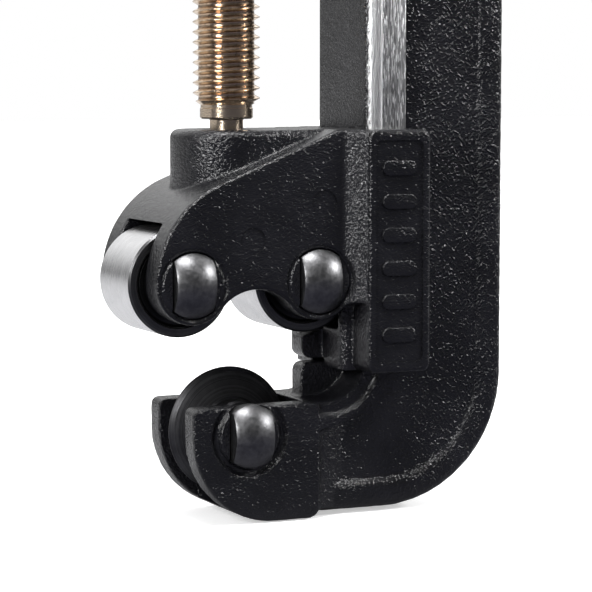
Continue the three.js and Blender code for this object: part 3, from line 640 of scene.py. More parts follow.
def c_outline(inset):
    """The C from the back of the jaw round the spine to the upper arm, its outside set back by inset."""
    corner_x = SPINE_X - SPINE_CORNER_R
    radius = SPINE_CORNER_R - inset
    throat_x = RAIL_FACE_X - THROAT_R
    return [
        (JAW_BACK - PAST, JAW_TOP),
        (JAW_BACK - PAST, SPINE_BOTTOM + inset),
        *arc(corner_x, SPINE_BOTTOM + SPINE_CORNER_R, radius, -90, 0),
        *arc(corner_x, ARM_TOP - SPINE_CORNER_R, radius, 0, 90),
        (0, ARM_TOP - inset),
        (0, ARM_UNDERSIDE),
        *arc(throat_x, ARM_UNDERSIDE - THROAT_R, THROAT_R, 90, 0, 12),
        *arc(throat_x, JAW_TOP + THROAT_R, THROAT_R, 0, -90, 12),
    ]


def rim_outline():
    corner_x = SPINE_X - SPINE_CORNER_R
    low = SPINE_BOTTOM + SPINE_CORNER_R
    high = ARM_TOP - SPINE_CORNER_R
    inner = SPINE_CORNER_R - RIM_WIDTH
    return [
        (JAW_BACK, SPINE_BOTTOM + RIM_WIDTH),
        (JAW_BACK, SPINE_BOTTOM),
        *arc(corner_x, low, SPINE_CORNER_R, -90, 0),
        *arc(corner_x, high, SPINE_CORNER_R, 0, 90),
        (0, ARM_TOP),
        (0, ARM_TOP - RIM_WIDTH),
        *arc(corner_x, high, inner, 90, 0),
        *arc(corner_x, low, inner, 0, -90),
    ]


def low_flange_outline(inset):
    """Flange round the lower inside corner; inset is how far its inner edge stands back from the throat."""
    throat_x = RAIL_FACE_X - THROAT_R
    throat_z = JAW_TOP + THROAT_R
    thickness, outer_r, outer_x = 4.2, 12.0, 10.2
    return [
        (outer_x - SINK, JAW_TOP - inset),
        (outer_x - SINK, JAW_TOP - thickness),
        *arc(outer_x, JAW_TOP - thickness + outer_r, outer_r, -90, 0),
        (RAIL_BACK_X, throat_z + outer_r / 2),
        (RAIL_FACE_X + inset, throat_z + outer_r / 2),
        *arc(throat_x, throat_z, THROAT_R + inset, 0, -90, 12),
    ]


def high_flange_outline(inset):
    throat_x = RAIL_FACE_X - THROAT_R
    throat_z = ARM_UNDERSIDE - THROAT_R
    thickness = RAIL_BACK_X - RAIL_FACE_X
    return [
        (RAIL_FACE_X + inset, throat_z - PAST),
        (RAIL_BACK_X, throat_z - PAST),
        *arc(throat_x, throat_z, THROAT_R + thickness, 0, 90),
        (0, ARM_UNDERSIDE + thickness),
        (0, ARM_UNDERSIDE + inset),
        *arc(throat_x, throat_z, THROAT_R + inset, 90, 0, 12),
    ]


def rail_outline(inset):
    return mirrored([
        (RAIL_FACE_X + inset, -RAIL_FACE_HALF + inset),
        (RAIL_SHOULDER_X, -RAIL_HALF + inset),
        (RAIL_BACK_X - inset, -RAIL_HALF + inset),
    ])


def jaw_outline():
    corner, heel = 1.2, 1.8
    radius = -JAW_BOTTOM
    return [
        *arc(JAW_LEFT + radius, 0, radius, 180, 270, 40),
        *arc(JAW_BACK - heel, JAW_BOTTOM + heel, heel, -90, 0, 8),
        (JAW_BACK, JAW_TOP),
        *arc(JAW_LEFT + corner, JAW_TOP - corner, corner, 90, 180, 8),
    ]


def jaw_blend():
    """Concave blend from the wide jaw down to the web, on both sides."""
    reach, steps = 5.2, 12
    below_web, below_jaw = 0.05, 0.3
    low, high = SPINE_BOTTOM + 0.6, JAW_TOP - 3.4
    near = []
    for i in range(steps + 1):
        along = math.sin(math.radians(90 * i / steps))
        half = WEB_HALF - below_web + (JAW_HALF - below_jaw - WEB_HALF) * (1 - along)
        near.append((JAW_BACK - SINK + reach * along, half))
    far = [(x, -half) for x, half in reversed(near)]
    return column([*far, *near], low, high)


def corner_plate(x0, x1, z0, z1, radius, top):
    """A rectangle with one rounded left corner, at the top or at the bottom."""
    if top:
        return [(x0, z0), (x1, z0), (x1, z1), *arc(x0 + radius, z1 - radius, radius, 90, 180, 8)]
    return [(x1, z0), (x1, z1), (x0, z1), *arc(x0 + radius, z0 + radius, radius, 180, 270, 8)]


def seat_groove(x, z, cheek_half, side, width, depth, lip):
    """Shallow groove with a sloping outer lip round an axle's seat; side is -1 in front and 1 at the rear."""
    floor_r = SEGMENT_R + width
    rounding = 0.15
    island = cheek_half - 0.1
    profile = [
        (SEGMENT_R, cheek_half - depth),
        (floor_r, cheek_half - depth),
        (floor_r + lip, cheek_half),
        (floor_r + lip, cheek_half + PAST),
        (SEGMENT_R - rounding, cheek_half + PAST),
        (SEGMENT_R - rounding, island),
        (SEGMENT_R, island - rounding),
    ]
    return turned([(radius, side * along) for radius, along in profile], (x, 0, z), "Y", 72)


def groove_seats(casting, spots, cheek_half, width, depth, lip):
    for x, z in spots:
        for side in (-1, 1):
            cut(casting, seat_groove(x, z, cheek_half, side, width, depth, lip))


def cut_seat(casting, x, z, cheek_half):
    """Slot for the head in front, round pocket for the ring at the rear, and the axle's bore."""
    flat_gap, round_gap = 0.28, 0.3
    gate = HEAD_FLAT_HALF + flat_gap
    floor = cheek_half - HEAD_POCKET_DEPTH
    slot = keep_inside(
        bar(x, z, HEAD_R + round_gap, -cheek_half - PAST, -floor),
        box(x - gate, x + gate, -2 * cheek_half, 0, z - LOBE_R, z + LOBE_R),
    )
    return cut(
        casting,
        slot,
        bar(x, z, SEGMENT_R, floor, cheek_half + PAST),
        bar(x, z, AXLE_R + SEAT_FIT, -cheek_half - PAST, cheek_half + PAST),
    )


def build_frame():
    web = plate(c_outline(WEB_INSET), WEB_HALF)
    shoulder = RAIL_SHOULDER_X - RAIL_FACE_X
    nose_corner, chamfer, thread_gap = 1.2, 1, 0.6
    nose = corner_plate(NOSE_LEFT, RAIL_FACE_X + PAST, JAW_TOP - PAST, NOSE_TOP, nose_corner, True)
    rail_low, rail_high = JAW_TOP + THROAT_R, ARM_UNDERSIDE - THROAT_R
    boss = turned([
        (0, BOSS_BOTTOM),
        (BOSS_R - chamfer, BOSS_BOTTOM),
        (BOSS_R, BOSS_BOTTOM + chamfer),
        (BOSS_R, BOSS_TOP - chamfer),
        (BOSS_R - chamfer, BOSS_TOP),
        (0, BOSS_TOP),
    ], axis="Z")
    union(
        web,
        bevelled(plate(rim_outline(), RIM_HALF), width=1.3, segments=4, angle=CAST_EDGE),
        plate(low_flange_outline(0), RAIL_FACE_HALF),
        plate(low_flange_outline(shoulder), JAW_HALF),
        plate(high_flange_outline(0), RAIL_FACE_HALF),
        plate(high_flange_outline(shoulder), JAW_HALF),
        column(rail_outline(inset=0.1), rail_low, rail_high),
        plate(nose, PLATE_HALF),
        bevelled(plate(jaw_outline(), JAW_HALF), width=0.4, angle=CAST_EDGE),
        jaw_blend(),
        boss,
    )
    cut(
        web,
        bar(0, 0, JAW_SLOT_R, -JAW_SLOT_HALF, JAW_SLOT_HALF),
        box(JAW_LEFT - PAST, 0, -JAW_SLOT_HALF, JAW_SLOT_HALF, -JAW_SLOT_R, JAW_TOP + PAST),
    )
    groove_seats(web, [(0, 0)], JAW_HALF, width=0.8, depth=0.8, lip=0.5)
    softened(web, FRAME_VOXEL)
    cast_skin(web, height=0.045, wave=1.6)
    union(web, bevelled(column(rail_outline(inset=0), rail_low, rail_high), width=0.22))
    cut_seat(web, 0, 0, JAW_HALF)
    nut_seat = post(NUT_R + SNUG_FIT, NUT_BOTTOM, BOSS_TOP + PAST)
    thread_hole = post(CREST_R + thread_gap, BOSS_BOTTOM - PAST, NUT_BOTTOM + PAST)
    return cut(web, nut_seat, thread_hole)


# ---------------------------------------- slide


def housing_outline():
    """Roof arc about the rollers' middle, slope up to the top, a lobe at each axle, a hollow between."""
    roof_r = ROLLER_X + LOBE_R
    slope = math.radians(ROOF_SLOPE)
    slope_z = ROLLER_Z + roof_r * math.cos(slope)
    ridge_x = -roof_r * math.sin(slope) + (SLIDE_TOP - slope_z) / math.tan(slope)
    drop, foot = 7.9, 19.0
    away = math.degrees(math.atan2(drop, ROLLER_X))
    hollow_r = math.hypot(drop, ROLLER_X) - LOBE_R
    foot_angle = math.degrees(math.asin((ROLLER_Z - foot) / LOBE_R))
    return [
        (GUIDE_LEFT + SINK, SLIDE_TOP),
        (ridge_x, SLIDE_TOP),
        *arc(0, ROLLER_Z, roof_r, 90 + ROOF_SLOPE, 180, 36),
        *arc(-ROLLER_X, ROLLER_Z, LOBE_R, 180, 360 - away, 24)[1:],
        *arc(0, ROLLER_Z - drop, hollow_r, 180 - away, away, 20)[1:],
        *arc(ROLLER_X, ROLLER_Z, LOBE_R, 180 + away, 360 - foot_angle, 20)[1:],
        (GUIDE_LEFT + SINK, foot),
    ]


def rounded_rectangle(x0, x1, z0, z1, radius, steps=8):
    return [
        *arc(x1 - radius, z0 + radius, radius, -90, 0, steps),
        *arc(x1 - radius, z1 - radius, radius, 0, 90, steps),
        *arc(x0 + radius, z1 - radius, radius, 90, 180, steps),
        *arc(x0 + radius, z0 + radius, radius, 180, 270, steps),
    ]


def rail_way():
    gap, lip = 0.3, WEB_HALF + 0.7
    face, shoulder, back = RAIL_FACE_X - gap, RAIL_SHOULDER_X - gap, RAIL_BACK_X + gap
    outside = GUIDE_RIGHT + PAST
    near = [
        (face, -RAIL_FACE_HALF - gap),
        (shoulder, -RAIL_HALF - gap),
        (back, -RAIL_HALF - gap),
        (back, -lip),
        (outside, -lip),
    ]
    return column(mirrored(near), SLIDE_BOTTOM - PAST, SLIDE_TOP + PAST)


def on_guide_face(outline, side, low, high):
    """A prism on the guide's front (-1) or rear (1) face, from low to high above the face."""
    face = side * GUIDE_HALF
    return extruded(outline, face + side * low, face + side * high, lambda x, z, y: (x, y, z))


def panel_bars(side):
    """Plain raised bars on the guide's flat face."""
    count, first, last = 6, 14.6, 39.4
    half, radius, margin, rise = 1.15, 1.1, 1.1, 0.1
    left, right = PANEL_LEFT + margin, PANEL_RIGHT - margin
    bars = []
    for i in range(count):
        z = first + (last - first) * i / (count - 1)
        outline = rounded_rectangle(left, right, z - half, z + half, radius, 6)
        bars.append(bevelled(on_guide_face(outline, side, -SINK, rise), width=0.2))
    return bars


def panel_recess(side):
    """Shallow field round the bars; what is left of the face is its border."""
    border, depth, radius = 1.6, 0.32, 0.9
    low, high = SLIDE_BOTTOM + border, SLIDE_TOP - border
    outline = rounded_rectangle(PANEL_LEFT, PANEL_RIGHT, low, high, radius)
    return on_guide_face(outline, side, -depth, PAST)


def collar_boss():
    """Round boss under the collar, running back into the guide."""
    outline = [
        (GUIDE_LEFT + SINK, -COLLAR_BOSS_R),
        (GUIDE_LEFT + SINK, COLLAR_BOSS_R),
        *arc(0, 0, COLLAR_BOSS_R, 90, 270, 40),
    ]
    foot = column(outline, ROLLER_Z + WINDOW_R - PAST, SLIDE_TOP)
    return bevelled(foot, width=1.3, segments=6, angle=CAST_EDGE)


def guide_shoulder():
    """Slanted strips from the housing's cheeks out to the guide."""
    low, high = 19.4, SLIDE_TOP - 0.4
    below_cheek, below_face, behind_edge = 0.1, 0.5, 0.3
    near = [
        (STRIP_LEFT - PAST, -HOUSING_HALF + below_cheek),
        (STRIP_LEFT, -HOUSING_HALF + below_cheek),
        (GUIDE_LEFT + behind_edge, -GUIDE_HALF + below_face),
    ]
    return column(mirrored(near), low, high)


def guide():
    outline = rounded_rectangle(GUIDE_LEFT, GUIDE_RIGHT, SLIDE_BOTTOM, SLIDE_TOP, 1.3)
    return bevelled(plate(outline, GUIDE_HALF), width=0.6, angle=CAST_EDGE)


def guide_column():
    """Rounded column below the housing, in front of the guide."""
    corner = 1.6
    outline = [
        (GUIDE_LEFT + PAST, -COLUMN_HALF),
        (GUIDE_LEFT + PAST, COLUMN_HALF),
        *arc(COLUMN_LEFT + corner, COLUMN_HALF - corner, corner, 90, 180, 8),
        *arc(COLUMN_LEFT + corner, -COLUMN_HALF + corner, corner, 180, 270, 8),
    ]
    return column(outline, SLIDE_BOTTOM, ROLLER_Z)


def rail_relief():
    """Opening at the foot of the guide, in front of the rail's face."""
    height, width_below, width_above = 1.5, 1.8, 0.4
    outline = [
        (RAIL_FACE_X - width_below, SLIDE_BOTTOM - PAST),
        (RAIL_FACE_X, SLIDE_BOTTOM - PAST),
        (RAIL_FACE_X, SLIDE_BOTTOM + height),
        (RAIL_FACE_X - width_above, SLIDE_BOTTOM + height),
    ]
    return plate(outline, RAIL_HALF)


def ejector_marks():
    """Shallow round marks, two on each cheek."""
    middles, radius, depth = ((-0.7, 29.0), (10.7, 34.3)), 2.0, 0.2
    marks = []
    for x, z in middles:
        for side in (-1, 1):
            low, high = sorted((side * (HOUSING_HALF - depth), side * (HOUSING_HALF + PAST)))
            marks.append(bar(x, z, radius, low, high))
    return marks


def build_slide():
    housing = bevelled(plate(housing_outline(), HOUSING_HALF), width=0.5, angle=CAST_EDGE)
    tongue_corner, neck_hole_bottom = 1.8, 30.0
    tongue = corner_plate(
        TONGUE_LEFT, COLUMN_LEFT + PAST, TONGUE_BOTTOM, ROLLER_Z, tongue_corner, False
    )
    tongue_gap = PLATE_HALF + 0.4
    seats = [(-ROLLER_X, ROLLER_Z), (ROLLER_X, ROLLER_Z)]
    union(housing, collar_boss(), guide_shoulder(), guide(), guide_column(), plate(tongue, PLATE_HALF))
    for x, z in seats:
        cut(housing, bar(x, z, WINDOW_R, -WINDOW_HALF, WINDOW_HALF))
    cut(
        housing,
        rail_relief(),
        box(COLUMN_LEFT - PAST, RAIL_FACE_X, -tongue_gap, tongue_gap, SLIDE_BOTTOM - PAST, TONGUE_BOTTOM),
    )
    groove_seats(housing, seats, HOUSING_HALF, width=0.3, depth=0.35, lip=0.3)
    softened(housing, SLIDE_VOXEL)
    cast_skin(housing, height=0.018, wave=1.1)
    cut(housing, rail_way(), post(NECK_R + RUNNING_FIT, neck_hole_bottom, SLIDE_TOP + PAST))
    for x, z in seats:
        cut_seat(housing, x, z, HOUSING_HALF)
    cut(housing, *ejector_marks())
    for side in (-1, 1):
        cut(housing, panel_recess(side))
        union(housing, *panel_bars(side))
    return housing


# ---------------------------------------- turned and screwed pieces


def ring_middle(cheek_half):
    """How far behind the middle plane an axle's ring sits."""
    return cheek_half - HEAD_POCKET_DEPTH + 0.5


def build_axle(x, z, cheek_half, lift):
    """Pin with a domed head that has two flats, and a groove for its ring at the rear."""
    steps, groove_half, chamfer = 12, 0.3, 0.3
    sphere = (HEAD_R ** 2 + HEAD_RISE ** 2) / (2 * HEAD_RISE)
    rim = -cheek_half - lift
    dome = []
    for i in range(steps + 1):
        radius = HEAD_R * i / steps
        dome.append((radius, rim - HEAD_RISE + sphere - math.sqrt(sphere ** 2 - radius ** 2)))
    seat = -cheek_half + HEAD_POCKET_DEPTH - SNUG_FIT
    groove = ring_middle(cheek_half)
    end = groove + 1.1
    pin = turned([
        *dome,
        (HEAD_R, seat),
        (AXLE_R, seat),
        (AXLE_R, groove - groove_half),
        (RING_GROOVE_R, groove - groove_half),
        (RING_GROOVE_R, groove + groove_half),
        (AXLE_R, groove + groove_half),
        (AXLE_R, end - chamfer),
        (AXLE_R - chamfer, end),
        (0, end),
    ], (x, 0, z), "Y", 72)
    far, tall = 2 * cheek_half, HEAD_R + PAST
    keep_inside(pin, box(x - HEAD_FLAT_HALF, x + HEAD_FLAT_HALF, -far, far, z - tall, z + tall))
    return bevelled(pin, width=0.12, segments=2, angle=40)


def build_ring(x, z, cheek_half):
    """Open spring ring in the axle's groove; its gap faces down."""
    half_gap, half_thickness = 34, 0.25
    start, end = half_gap - 90, 270 - half_gap
    outline = [
        *arc(x, z, RING_R, start, end, 48),
        *arc(x, z, RING_GROOVE_R + SEAT_FIT, end, start, 48),
    ]
    ring = plate(outline, half_thickness)
    ring.data.transform(Matrix.Translation((0, ring_middle(cheek_half), 0)))
    return bevelled(ring, width=0.08, segments=2, angle=40)


def build_wheel():
    """Disc that thins towards a ground edge, with a hub on each side."""
    hub_half, hub_r, hub_chamfer, fillet, bore_chamfer = 5.0, 4.8, 0.3, 0.35, 0.25
    disc_half, ground_width, ground_half, edge = 2.0, 0.7, 0.45, 0.03
    bore = AXLE_R + RUNNING_FIT
    radius = local_box("cutting_wheel")[1].x
    half = [
        (bore, hub_half - bore_chamfer),
        (bore + bore_chamfer, hub_half),
        (hub_r - hub_chamfer, hub_half),
        (hub_r, hub_half - hub_chamfer),
        (hub_r, disc_half + fillet),
        (hub_r + fillet, disc_half),
        (hub_r + 0.8, disc_half - 0.1),
        (radius - ground_width - 0.05, ground_half + 0.1),
        (radius - ground_width, ground_half),
        (radius, edge),
    ]
    profile = mirrored(half)
    ground_stretches = (8, 9, 10)
    slots = [1 if i in ground_stretches else 0 for i in range(len(profile))]
    return turned(profile, steps=160, slots=slots)


def build_roller(x):
    """Ground sleeve; its ends and bore have the second material."""
    chamfer = 0.3
    half = [
        (ROLLER_BORE_R, ROLLER_HALF - chamfer),
        (ROLLER_BORE_R + chamfer, ROLLER_HALF),
        (ROLLER_R - chamfer, ROLLER_HALF),
        (ROLLER_R, ROLLER_HALF - chamfer),
    ]
    slots = [0, 1, 1, 0, 1, 1, 0, 1]
    return turned(mirrored(half), (x, 0, ROLLER_Z), "Y", 144, slots)


def build_bush(x):
    """Dark bush set back inside a sleeve, with a hub that reaches the window's cheeks."""
    outer, face, chamfer = ROLLER_BORE_R - SNUG_FIT, ROLLER_HALF - 0.5, 0.35
    hub_r, hub_face, hub_chamfer = 4.4, WINDOW_HALF - RUNNING_FIT, 0.2
    half = [
        (AXLE_R + RUNNING_FIT, hub_face),
        (hub_r - hub_chamfer, hub_face),
        (hub_r, hub_face - hub_chamfer),
        (hub_r, face),
        (outer - chamfer, face),
        (outer, face - chamfer),
    ]
    return turned(mirrored(half), (x, 0, ROLLER_Z), "Y", 96)


def build_thread(low, high):
    """Helical thread: each row climbs one pitch per turn, so its radius depends only on the row."""
    # one pitch of the profile: share of the pitch, share of the way from root to crest
    shape = [
        (0.0, 0.0),
        (0.08, 0.05),
        (0.17, 0.30),
        (0.36, 0.93),
        (0.40, 1.0),
        (0.45, 1.0),
        (0.49, 0.93),
        (0.68, 0.30),
        (0.77, 0.05),
    ]
    sides = 72
    turns = math.ceil((high - low) / PITCH) + 2
    start = low - 1.5 * PITCH
    per_turn = len(shape)
    rows = turns * per_turn
    vertices = []
    for row in range(rows):
        along, share = shape[row % per_turn]
        radius = ROOT_R + (CREST_R - ROOT_R) * share
        for side in range(sides):
            turn = side / sides
            z = start + PITCH * (row // per_turn + along + turn)
            angle = 2 * math.pi * turn
            vertices.append((radius * math.cos(angle), radius * math.sin(angle), z))

    def at(row, side):
        return row * sides + side if side < sides else (row + per_turn) * sides

    last = rows - per_turn
    faces = [
        (at(r, s), at(r, s + 1), at(r + 1, s + 1), at(r + 1, s))
        for r in range(last - 1)
        for s in range(sides)
    ]
    for row, tip_z in ((0, start - PITCH), (last - 1, start + PITCH * (turns + 1))):
        loop = [at(row, side) for side in range(sides + 1)]
        loop += [at(row + k, 0) for k in range(per_turn - 1, 0, -1)]
        tip = len(vertices)
        vertices.append((0, 0, tip_z))
        faces += [(tip, loop[i], loop[(i + 1) % len(loop)]) for i in range(len(loop))]
    return solid(vertices, faces)


def build_spindle():
    """Thread that runs out above the collar, a grooved neck below it and a flatted drive above."""
    inner, outer, overlap = ROOT_R - 0.3, CREST_R + 0.3, 0.2
    envelope = turned([
        (0, COLLAR_TOP - overlap),
        (inner, COLLAR_TOP - overlap),
        (inner, COLLAR_TOP + 0.25),
        (outer, COLLAR_TOP + 1.3),
        (outer, THREAD_TOP - 0.6),
        (ROOT_R, THREAD_TOP + 0.1),
        (0, THREAD_TOP + 0.1),
    ], axis="Z")
    thread = keep_inside(build_thread(COLLAR_TOP, THREAD_TOP), envelope)
    groove_r, groove_half, tip, fillet, chamfer = 1.9, 1.2, 0.4, 0.15, 0.25
    journal = turned([
        (0, NECK_BOTTOM),
        (NECK_R - tip, NECK_BOTTOM),
        (NECK_R, NECK_BOTTOM + tip),
        (NECK_R, KEEPER_Z - groove_half),
        (groove_r, KEEPER_Z - groove_half),
        (groove_r, KEEPER_Z + groove_half),
        (NECK_R, KEEPER_Z + groove_half),
        (NECK_R, COLLAR_BOTTOM - fillet),
        (NECK_R + fillet, COLLAR_BOTTOM),
        (COLLAR_R - chamfer, COLLAR_BOTTOM),
        (COLLAR_R, COLLAR_BOTTOM + chamfer),
        (COLLAR_R, COLLAR_TOP - chamfer),
        (COLLAR_R - chamfer, COLLAR_TOP),
        (0, COLLAR_TOP),
    ], axis="Z", steps=72)
    drive = keep_inside(
        post(DRIVE_R, THREAD_TOP, SPINDLE_TOP),
        box(-DRIVE_FLAT_HALF, DRIVE_FLAT_HALF, -DRIVE_R, DRIVE_R, THREAD_TOP, SPINDLE_TOP),
    )
    screw_hole_r, screw_hole_depth = 2.05, 10
    screw_hole = post(screw_hole_r, SPINDLE_TOP - screw_hole_depth, SPINDLE_TOP + PAST, 48)
    return cut(union(thread, journal, drive), screw_hole)


def build_nut():
    chamfer, flange_chamfer = 0.4, 0.2
    bore = CREST_R + RUNNING_FIT
    low, flange_low = NUT_BOTTOM + SNUG_FIT, BOSS_TOP + SNUG_FIT
    return turned([
        (bore, low),
        (NUT_R, low),
        (NUT_R, flange_low),
        (NUT_FLANGE_R - flange_chamfer, flange_low),
        (NUT_FLANGE_R, flange_low + flange_chamfer),
        (NUT_FLANGE_R, NUT_TOP - chamfer),
        (NUT_FLANGE_R - chamfer, NUT_TOP),
        (bore + chamfer, NUT_TOP),
        (bore, NUT_TOP - chamfer),
    ], axis="Z")


def build_handle():
    """Fluted grip with a narrower skirt below and a rounded crown above."""
    sides, per_mm = 240, 1.6
    skirt_r, skirt_height, shoulder_height = 11.5, 3.0, 4.0
    flute_start, flute_run, crown, chamfer = 4.0, 5.0, 3.0, 0.5
    height = HANDLE_TOP - HANDLE_BOTTOM

    def body_radius(z):
        rise = min(max((z - skirt_height) / shoulder_height, 0.0), 1.0)
        return skirt_r + (HANDLE_R - skirt_r) * math.sin(rise * math.pi / 2)

    levels = [i / per_mm for i in range(1, int((height - crown) * per_mm) + 1)]
    profile = [
        (skirt_r - chamfer, 0.0),
        (skirt_r, chamfer),
        *[(body_radius(z), z) for z in levels],
        *arc(HANDLE_R - crown, height - crown, crown, 0, 90, 6)[1:],
    ]
    vertices = []
    for radius, z in profile:
        share = min(max((z - flute_start) / flute_run, 0.0), 1.0)
        share = share * share * (3 - 2 * share)
        for side in range(sides):
            angle = 2 * math.pi * side / sides
            wave = (0.5 - 0.5 * math.cos(HANDLE_FLUTES * angle)) ** 2
            r = radius - FLUTE_DEPTH * wave * share
            vertices.append((r * math.cos(angle), r * math.sin(angle), HANDLE_BOTTOM + z))
    rings = len(profile)
    faces = [
        (r * sides + s, r * sides + (s + 1) % sides, (r + 1) * sides + (s + 1) % sides, (r + 1) * sides + s)
        for r in range(rings - 1)
        for s in range(sides)
    ]
    faces.append(tuple(range(sides)))
    faces.append(tuple(range((rings - 1) * sides, rings * sides)))
    grip = solid(vertices, faces)
    flat = DRIVE_FLAT_HALF + SNUG_FIT
    wide = DRIVE_R + PAST
    shoulder_z = SPINDLE_TOP + 0.2
    drive = keep_inside(
        post(DRIVE_R + SNUG_FIT, HANDLE_BOTTOM - PAST, shoulder_z + SINK),
        box(-flat, flat, -wide, wide, HANDLE_BOTTOM - 2 * PAST, shoulder_z + PAST),
    )
    return cut(
        grip,
        drive,
        post(SCREW_WELL_R, shoulder_z, HANDLE_TOP + PAST),
        post(CAP_R + SNUG_FIT, HANDLE_TOP - CAP_DEPTH, HANDLE_TOP + PAST, 96),
    )


def build_cap():
    """Disc with a collar that plugs the screw's well, and a fine groove in its top."""
    low = HANDLE_TOP - CAP_DEPTH + SNUG_FIT
    plug_r, plug_height = SCREW_WELL_R - SEAT_FIT, 1.2
    plug_inner_r, plug_low = plug_r - plug_height, low - plug_height
    chamfer, groove_r, groove_depth = 0.35, 7.4, 0.3
    return turned([
        (0, low),
        (plug_inner_r, low),
        (plug_inner_r, plug_low),
        (plug_r, plug_low),
        (plug_r, low),
        (CAP_R, low),
        (CAP_R, HANDLE_TOP - chamfer),
        (CAP_R - chamfer, HANDLE_TOP),
        (groove_r + groove_depth, HANDLE_TOP),
        (groove_r, HANDLE_TOP - groove_depth),
        (groove_r - groove_depth, HANDLE_TOP),
        (0, HANDLE_TOP),
    ], axis="Z")


def build_ball():
    low, high = local_box("thrust_ball")
    radius = (high.z - low.z) / 2
    middle_z = (high.z + low.z) / 2
    profile = [
        (radius * math.sin(math.radians(a)), middle_z - radius * math.cos(math.radians(a)))
        for a in range(0, 181, 10)
    ]
    profile[0], profile[-1] = (0, middle_z - radius), (0, middle_z + radius)
    return turned(profile, axis="Z", steps=36)


# ---------------------------------------- the cutter

SHARP_TURNED = 32
SHARP_WHEEL = 24

paint_on_frame = frame_paint()
paint_on_slide = slide_paint()
plating = spindle_finish()
plastic = grip_plastic()
head_steel = steel("head_steel", (0.12, 0.12, 0.123), (0.17, 0.17, 0.175), 0.34, 0.44, scale=1.3, depth=0.03)
spring = steel("spring_steel", (0.22, 0.22, 0.23), (0.42, 0.42, 0.43), 0.28, 0.42, scale=2.0)
brass = steel("turned_brass", (0.42, 0.29, 0.12), (0.66, 0.49, 0.24), 0.24, 0.36, (1, 1, 6), 1.4)
wheel_dark = turned_steel("wheel_steel", (0, 0), (0.040, 0.040, 0.042), (0.090, 0.090, 0.094), 0.36)
wheel_bevel = turned_steel("wheel_bevel", (0, 0), (0.05, 0.05, 0.052), (0.10, 0.10, 0.104), 0.28)


def place_axle(name, body, node, x, z, cheek_half, lift):
    """An axle and the spring ring at its rear end."""
    pin = build_axle(x, z, cheek_half, lift)
    place(pin, name, body, node, [head_steel])
    ring = build_ring(x, z, cheek_half)
    place(ring, name + "_ring", body, node + "_ring", [spring])


def place_roller(hand, x):
    """A roller's sleeve and bush on their own body, and its axle on the slide."""
    centre = (x, ROLLER_Z)
    ground = turned_steel(hand + "_ground_steel", centre, (0.50, 0.50, 0.51), (0.68, 0.68, 0.69), 0.20, 7.0)
    oxide = turned_steel(hand + "_black_oxide", centre, (0.022, 0.022, 0.023), (0.05, 0.05, 0.052), 0.30)
    end = turned_steel(hand + "_sleeve_end", centre, (0.07, 0.07, 0.072), (0.13, 0.13, 0.133), 0.28)
    node = hand + "_roller"
    place(build_roller(x), hand + "_sleeve", node, node, [ground, end])
    place(build_bush(x), hand + "_sleeve_bush", node, node + "_bush", [oxide])
    place_axle(hand + "_pin", "slide", node + "_axle", x, ROLLER_Z, HOUSING_HALF, 0.0)


place(build_frame(), "cast_frame", "frame", "frame", [paint_on_frame])
place(build_slide(), "cast_slide", "slide", "slide", [paint_on_slide])
place(build_nut(), "spindle_bush", "frame", "spindle_nut", [brass])
wheel = build_wheel()
wheel_steels = [wheel_dark, wheel_bevel]
place(wheel, "cutter_disc", "cutting_wheel", "cutting_wheel", wheel_steels, SHARP_WHEEL)
place_axle("wheel_pin", "frame", "wheel_axle", 0, 0, JAW_HALF, WHEEL_HEAD_LIFT)
place_roller("left", -ROLLER_X)
place_roller("right", ROLLER_X)
place(build_spindle(), "feed_spindle", "feed_screw", "spindle", [plating], SHARP_TURNED)
place(build_handle(), "fluted_grip", "feed_screw", "handle", [plastic], SHARP_TURNED)
place(build_cap(), "grip_cap", "feed_screw", "handle_cap", [plastic], SHARP_TURNED)
place(build_ball(), "bearing_ball", "slide", "thrust_ball", [spring])

# these three show their CAD mesh
CARRIED = (("spindle_keeper_pin", spring), ("handle_washer", spring), ("handle_screw", head_steel))
for node, material in CARRIED:
    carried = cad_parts[node]
    for slot_index in range(len(carried.material_slots)):
        carried.material_slots[slot_index].material = material

# ---------------------------------------- floor, light and camera

# The camera stands a little above the slide's top and looks slightly down. Turn and dip are in degrees.
CAMERA_PLACE = ORIGIN + Vector((-140.91, -340.42, 53.08)) * MM
CAMERA_TURN = 24.1
CAMERA_DIP = 5.125
CAMERA_LENS = 149.8


def add_floor():
    """Pale floor as the camera sees it; in front of the tool, reflections see a dark one."""
    half_size, below_cad = 3.0, 0.0002
    mesh = bpy.data.meshes.new("floor")
    corners = [(x * half_size, y * half_size, 0) for x, y in ((-1, -1), (1, -1), (1, 1), (-1, 1))]
    mesh.from_pydata(corners, [], [(0, 1, 2, 3)])
    floor = add_object("floor", mesh)
    floor.location.z = cad_bounds[0].z - below_cad
    g = new_material("pale_floor")
    tone = g.noise(g.place_mm(), scale=0.004)
    away = g.node("VectorMath", {0: g.place_mm()}, operation="LENGTH").outputs["Value"]
    _, y, _ = g.axes()
    beyond = g.span(y, -30.0, 40.0, 0.0, 0.42)
    seen = g.math("MAXIMUM", beyond, g.node("LightPath").outputs["Is Camera Ray"])
    pale = g.mix(tone, (0.90, 0.90, 0.90), (0.93, 0.93, 0.93))
    mesh.materials.append(g.finish(
        base_color=g.mix(seen, (0.055, 0.055, 0.075), pale),
        roughness=0.9,
        specular_ior_level=0.1,
        emission_color=(1, 1, 1, 1),
        emission_strength=g.product(seen, g.span(away, 40.0, 260.0, 0.50, 0.85)),
    ))


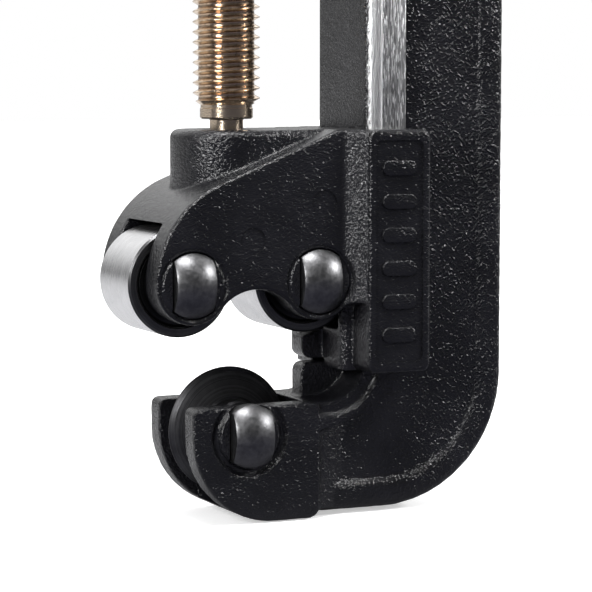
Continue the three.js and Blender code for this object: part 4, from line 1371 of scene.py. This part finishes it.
def add_world():
    """Studio, bright high behind the tool and dim towards the camera, which itself sees plain white."""
    dimmest, low_glow, high_glow = 0.09, 0.10, 1.35
    white = (1, 1, 1, 1)
    world = bpy.data.worlds.new("studio")
    bpy.context.scene.world = world
    g = Graph(world)
    turn = math.radians(CAMERA_TURN)
    ahead = (math.sin(turn), math.cos(turn), 0)
    direction = g.node("TexCoord").outputs["Generated"]
    facing = g.node("VectorMath", {0: direction, 1: ahead}, operation="DOT_PRODUCT").outputs["Value"]
    height = g.node("SeparateXYZ", {0: direction}).outputs[2]
    behind = g.span(facing, -0.35, 0.35)
    rising = g.span(height, 0.0, 0.45, low_glow, high_glow)
    light = g.math("ADD", g.product(behind, rising), dimmest)
    lit = g.node("Background", {"Color": white, "Strength": light}).outputs[0]
    seen = g.node("Background", {"Color": white, "Strength": 1.0}).outputs[0]
    camera_ray = g.node("LightPath").outputs["Is Camera Ray"]
    both = g.node("MixShader", {0: camera_ray, 1: lit, 2: seen}).outputs[0]
    g.node("OutputWorld", {"Surface": both})


def add_light(name, place_mm, target_mm, size_mm, power):
    """A rectangular lamp at place_mm, aimed at target_mm; power is in watts."""
    data = bpy.data.lights.new(name, "AREA")
    data.shape = "RECTANGLE"
    data.size, data.size_y = (s * MM for s in size_mm)
    data.energy = power
    light = add_object(name, data)
    light.location = ORIGIN + Vector(place_mm) * MM
    aim = Vector(target_mm) - Vector(place_mm)
    light.rotation_euler = aim.to_track_quat("-Z", "Y").to_euler()


def add_camera():
    data = bpy.data.cameras.new("camera")
    data.lens = CAMERA_LENS
    data.sensor_width = 36.0
    data.clip_start, data.clip_end = 0.01, 10.0
    camera = add_object("camera", data)
    camera.location = CAMERA_PLACE
    camera.rotation_euler = (math.radians(90 - CAMERA_DIP), 0, -math.radians(CAMERA_TURN))
    bpy.context.scene.camera = camera


add_floor()
add_world()
add_light("left_front_softbox", (-372, -262, 195), (5, 0, 25), (130, 170), 1.75)
add_light("overhead_softbox", (-60, -150, 450), (5, 0, 25), (170, 90), 2.2)
add_light("right_softbox", (430, -215, 260), (8, 0, 25), (80, 80), 1.7)
add_camera()
bpy.context.scene.view_settings.view_transform = "Standard"
bpy.context.scene.view_settings.look = "None"
